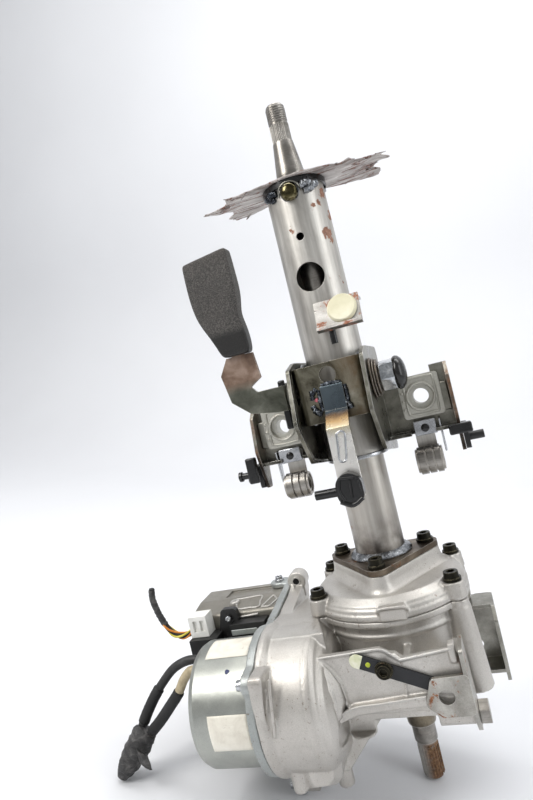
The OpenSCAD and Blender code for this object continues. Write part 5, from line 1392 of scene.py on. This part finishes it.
def can_dot(name, x, angle, radius, look):
    """Small dab of paint lying on the can."""
    rows = []
    levels = ((1.0, 0.0), (0.94, 0.16), (0.65, 0.26), (0.3, 0.3), (0.03, 0.31))
    for share, height in levels:
        for k in range(24):
            t = 2 * pi * k / 24
            r = radius * share * (1 + 0.12 * sin(3 * t + 1))
            a = radians(angle) + r * sin(t) / CAN_RADIUS
            out = CAN_RADIUS + height
            rows.append((x + r * cos(t), WORM_Y - out * cos(a), WORM_Z + out * sin(a)))
    piece(name, rows, rings_to_faces(len(levels), 24), "galvanised", look=look, sharp=60)


can_label("label_upper", -145, -108, 67, 99, 1.0)
can_label("label_lower", -140, -107.5, -16, 16.5, 1.2)
can_dot("blue_mark", -123.3, 52.5, 1.9, "paint_blue")
dot_of_paint("strap_mark", (-14.2, -88.55, 142.6), 1.9, "paint_green", "black_plastic")


def strap_cap():
    """Pale dab over the strap's upper end."""
    along = Vector((0.919, -0.396))
    over = Vector((0.396, 0.919))
    outline = [(3.2, -5.2), (3.6, 5.2)]
    outline += [polar(5.3, a) for a in range(95, 270, 15)]
    spots = [(-22 + u * along.x + v * over.x, 146 + u * along.y + v * over.y) for u, v in outline]
    softened(piece("strap_cap", *front_slab(spots, -88.95, -88.3), "cream_plastic", look="paint_pale"), 0.3)


strap_cap()


# Control unit

def control_unit_details():
    """Raised outlines and boss on the top, bright bar and screw at the connector."""
    first = [(-152, 21, 164.4), (-139, 21.6, 164.5), (-126, 22, 164.6), (-124.8, 12, 163.0),
             (-124, 3, 161.6), (-134, 3, 161.6), (-145, 3, 161.6), (-149, 12, 163.0), (-152, 21, 164.4)]
    second = [(-121, 2, 161.4), (-117.5, 10, 162.7), (-113.5, 19, 164.2), (-110.5, 16, 163.6),
              (-108, 12, 163), (-110.5, 7, 162.1), (-113, 2, 161.4), (-121, 2, 161.4)]
    shapes = [rod(first, 0.9, 60), rod(second, 0.9, 50), rod([(-160, -2.2, 155), (-124, -2.2, 157)], 1.1)]
    boss = [(4.7, 0), (4.7, 2.6), (4.0, 3.4), (1.7, 3.5), (1.5, 2.3), (0.05, 2.1)]
    shapes.append(lathe("Z", (-151.5, 14.5, 162.4), boss, 28))
    piece("ecu_ribs", *joined(shapes), "die_cast", look="casting_edge", sharp=60)
    bar = block((-147, -122), (-17.5, -16.3), (145.5, 150.5))
    softened(piece("connector_bar", *bar, "light_cast"), 0.4)
    screw = [(2.6, -0.6), (2.8, 0.5), (2.3, 1.2), (1.1, 1.4), (0.9, 0.7), (0.05, 0.6)]
    piece("connector_screw", *lathe("Y", (-150.3, -11.2, 159), screw, 24), "bright_zinc")


control_unit_details()


# Floor

def make_floor():
    """White table that sweeps up into the backdrop."""
    verts = []
    faces = []
    profile = [(-3.0, 0.0), (1.1, 0.0)]
    for k in range(1, 13):
        a = pi / 2 * k / 12
        profile.append((1.1 + 0.8 * sin(a), 0.8 - 0.8 * cos(a)))
    profile.append((1.9, 3.2))
    for y, z in profile:
        verts += [(-4, y, FLOOR_Z + z), (4, y, FLOOR_Z + z)]
    for i in range(len(profile) - 1):
        faces.append((2 * i, 2 * i + 1, 2 * i + 3, 2 * i + 2))
    mesh = bpy.data.meshes.new("floor")
    mesh.from_pydata(verts, [], faces)
    mesh.polygons.foreach_set("use_smooth", [True] * len(mesh.polygons))
    f = Finish("floor")
    f.put(f.bsdf.inputs["Base Color"], f.tones(f.noise(1.5, 3, 0.5), "d8d9dc dddee1", 0.3, 0.7))
    f.put(f.bsdf.inputs["Roughness"], 0.6)
    mesh.materials.append(f.mat)
    floor = shown(bpy.data.objects.new("floor", mesh))


make_floor()
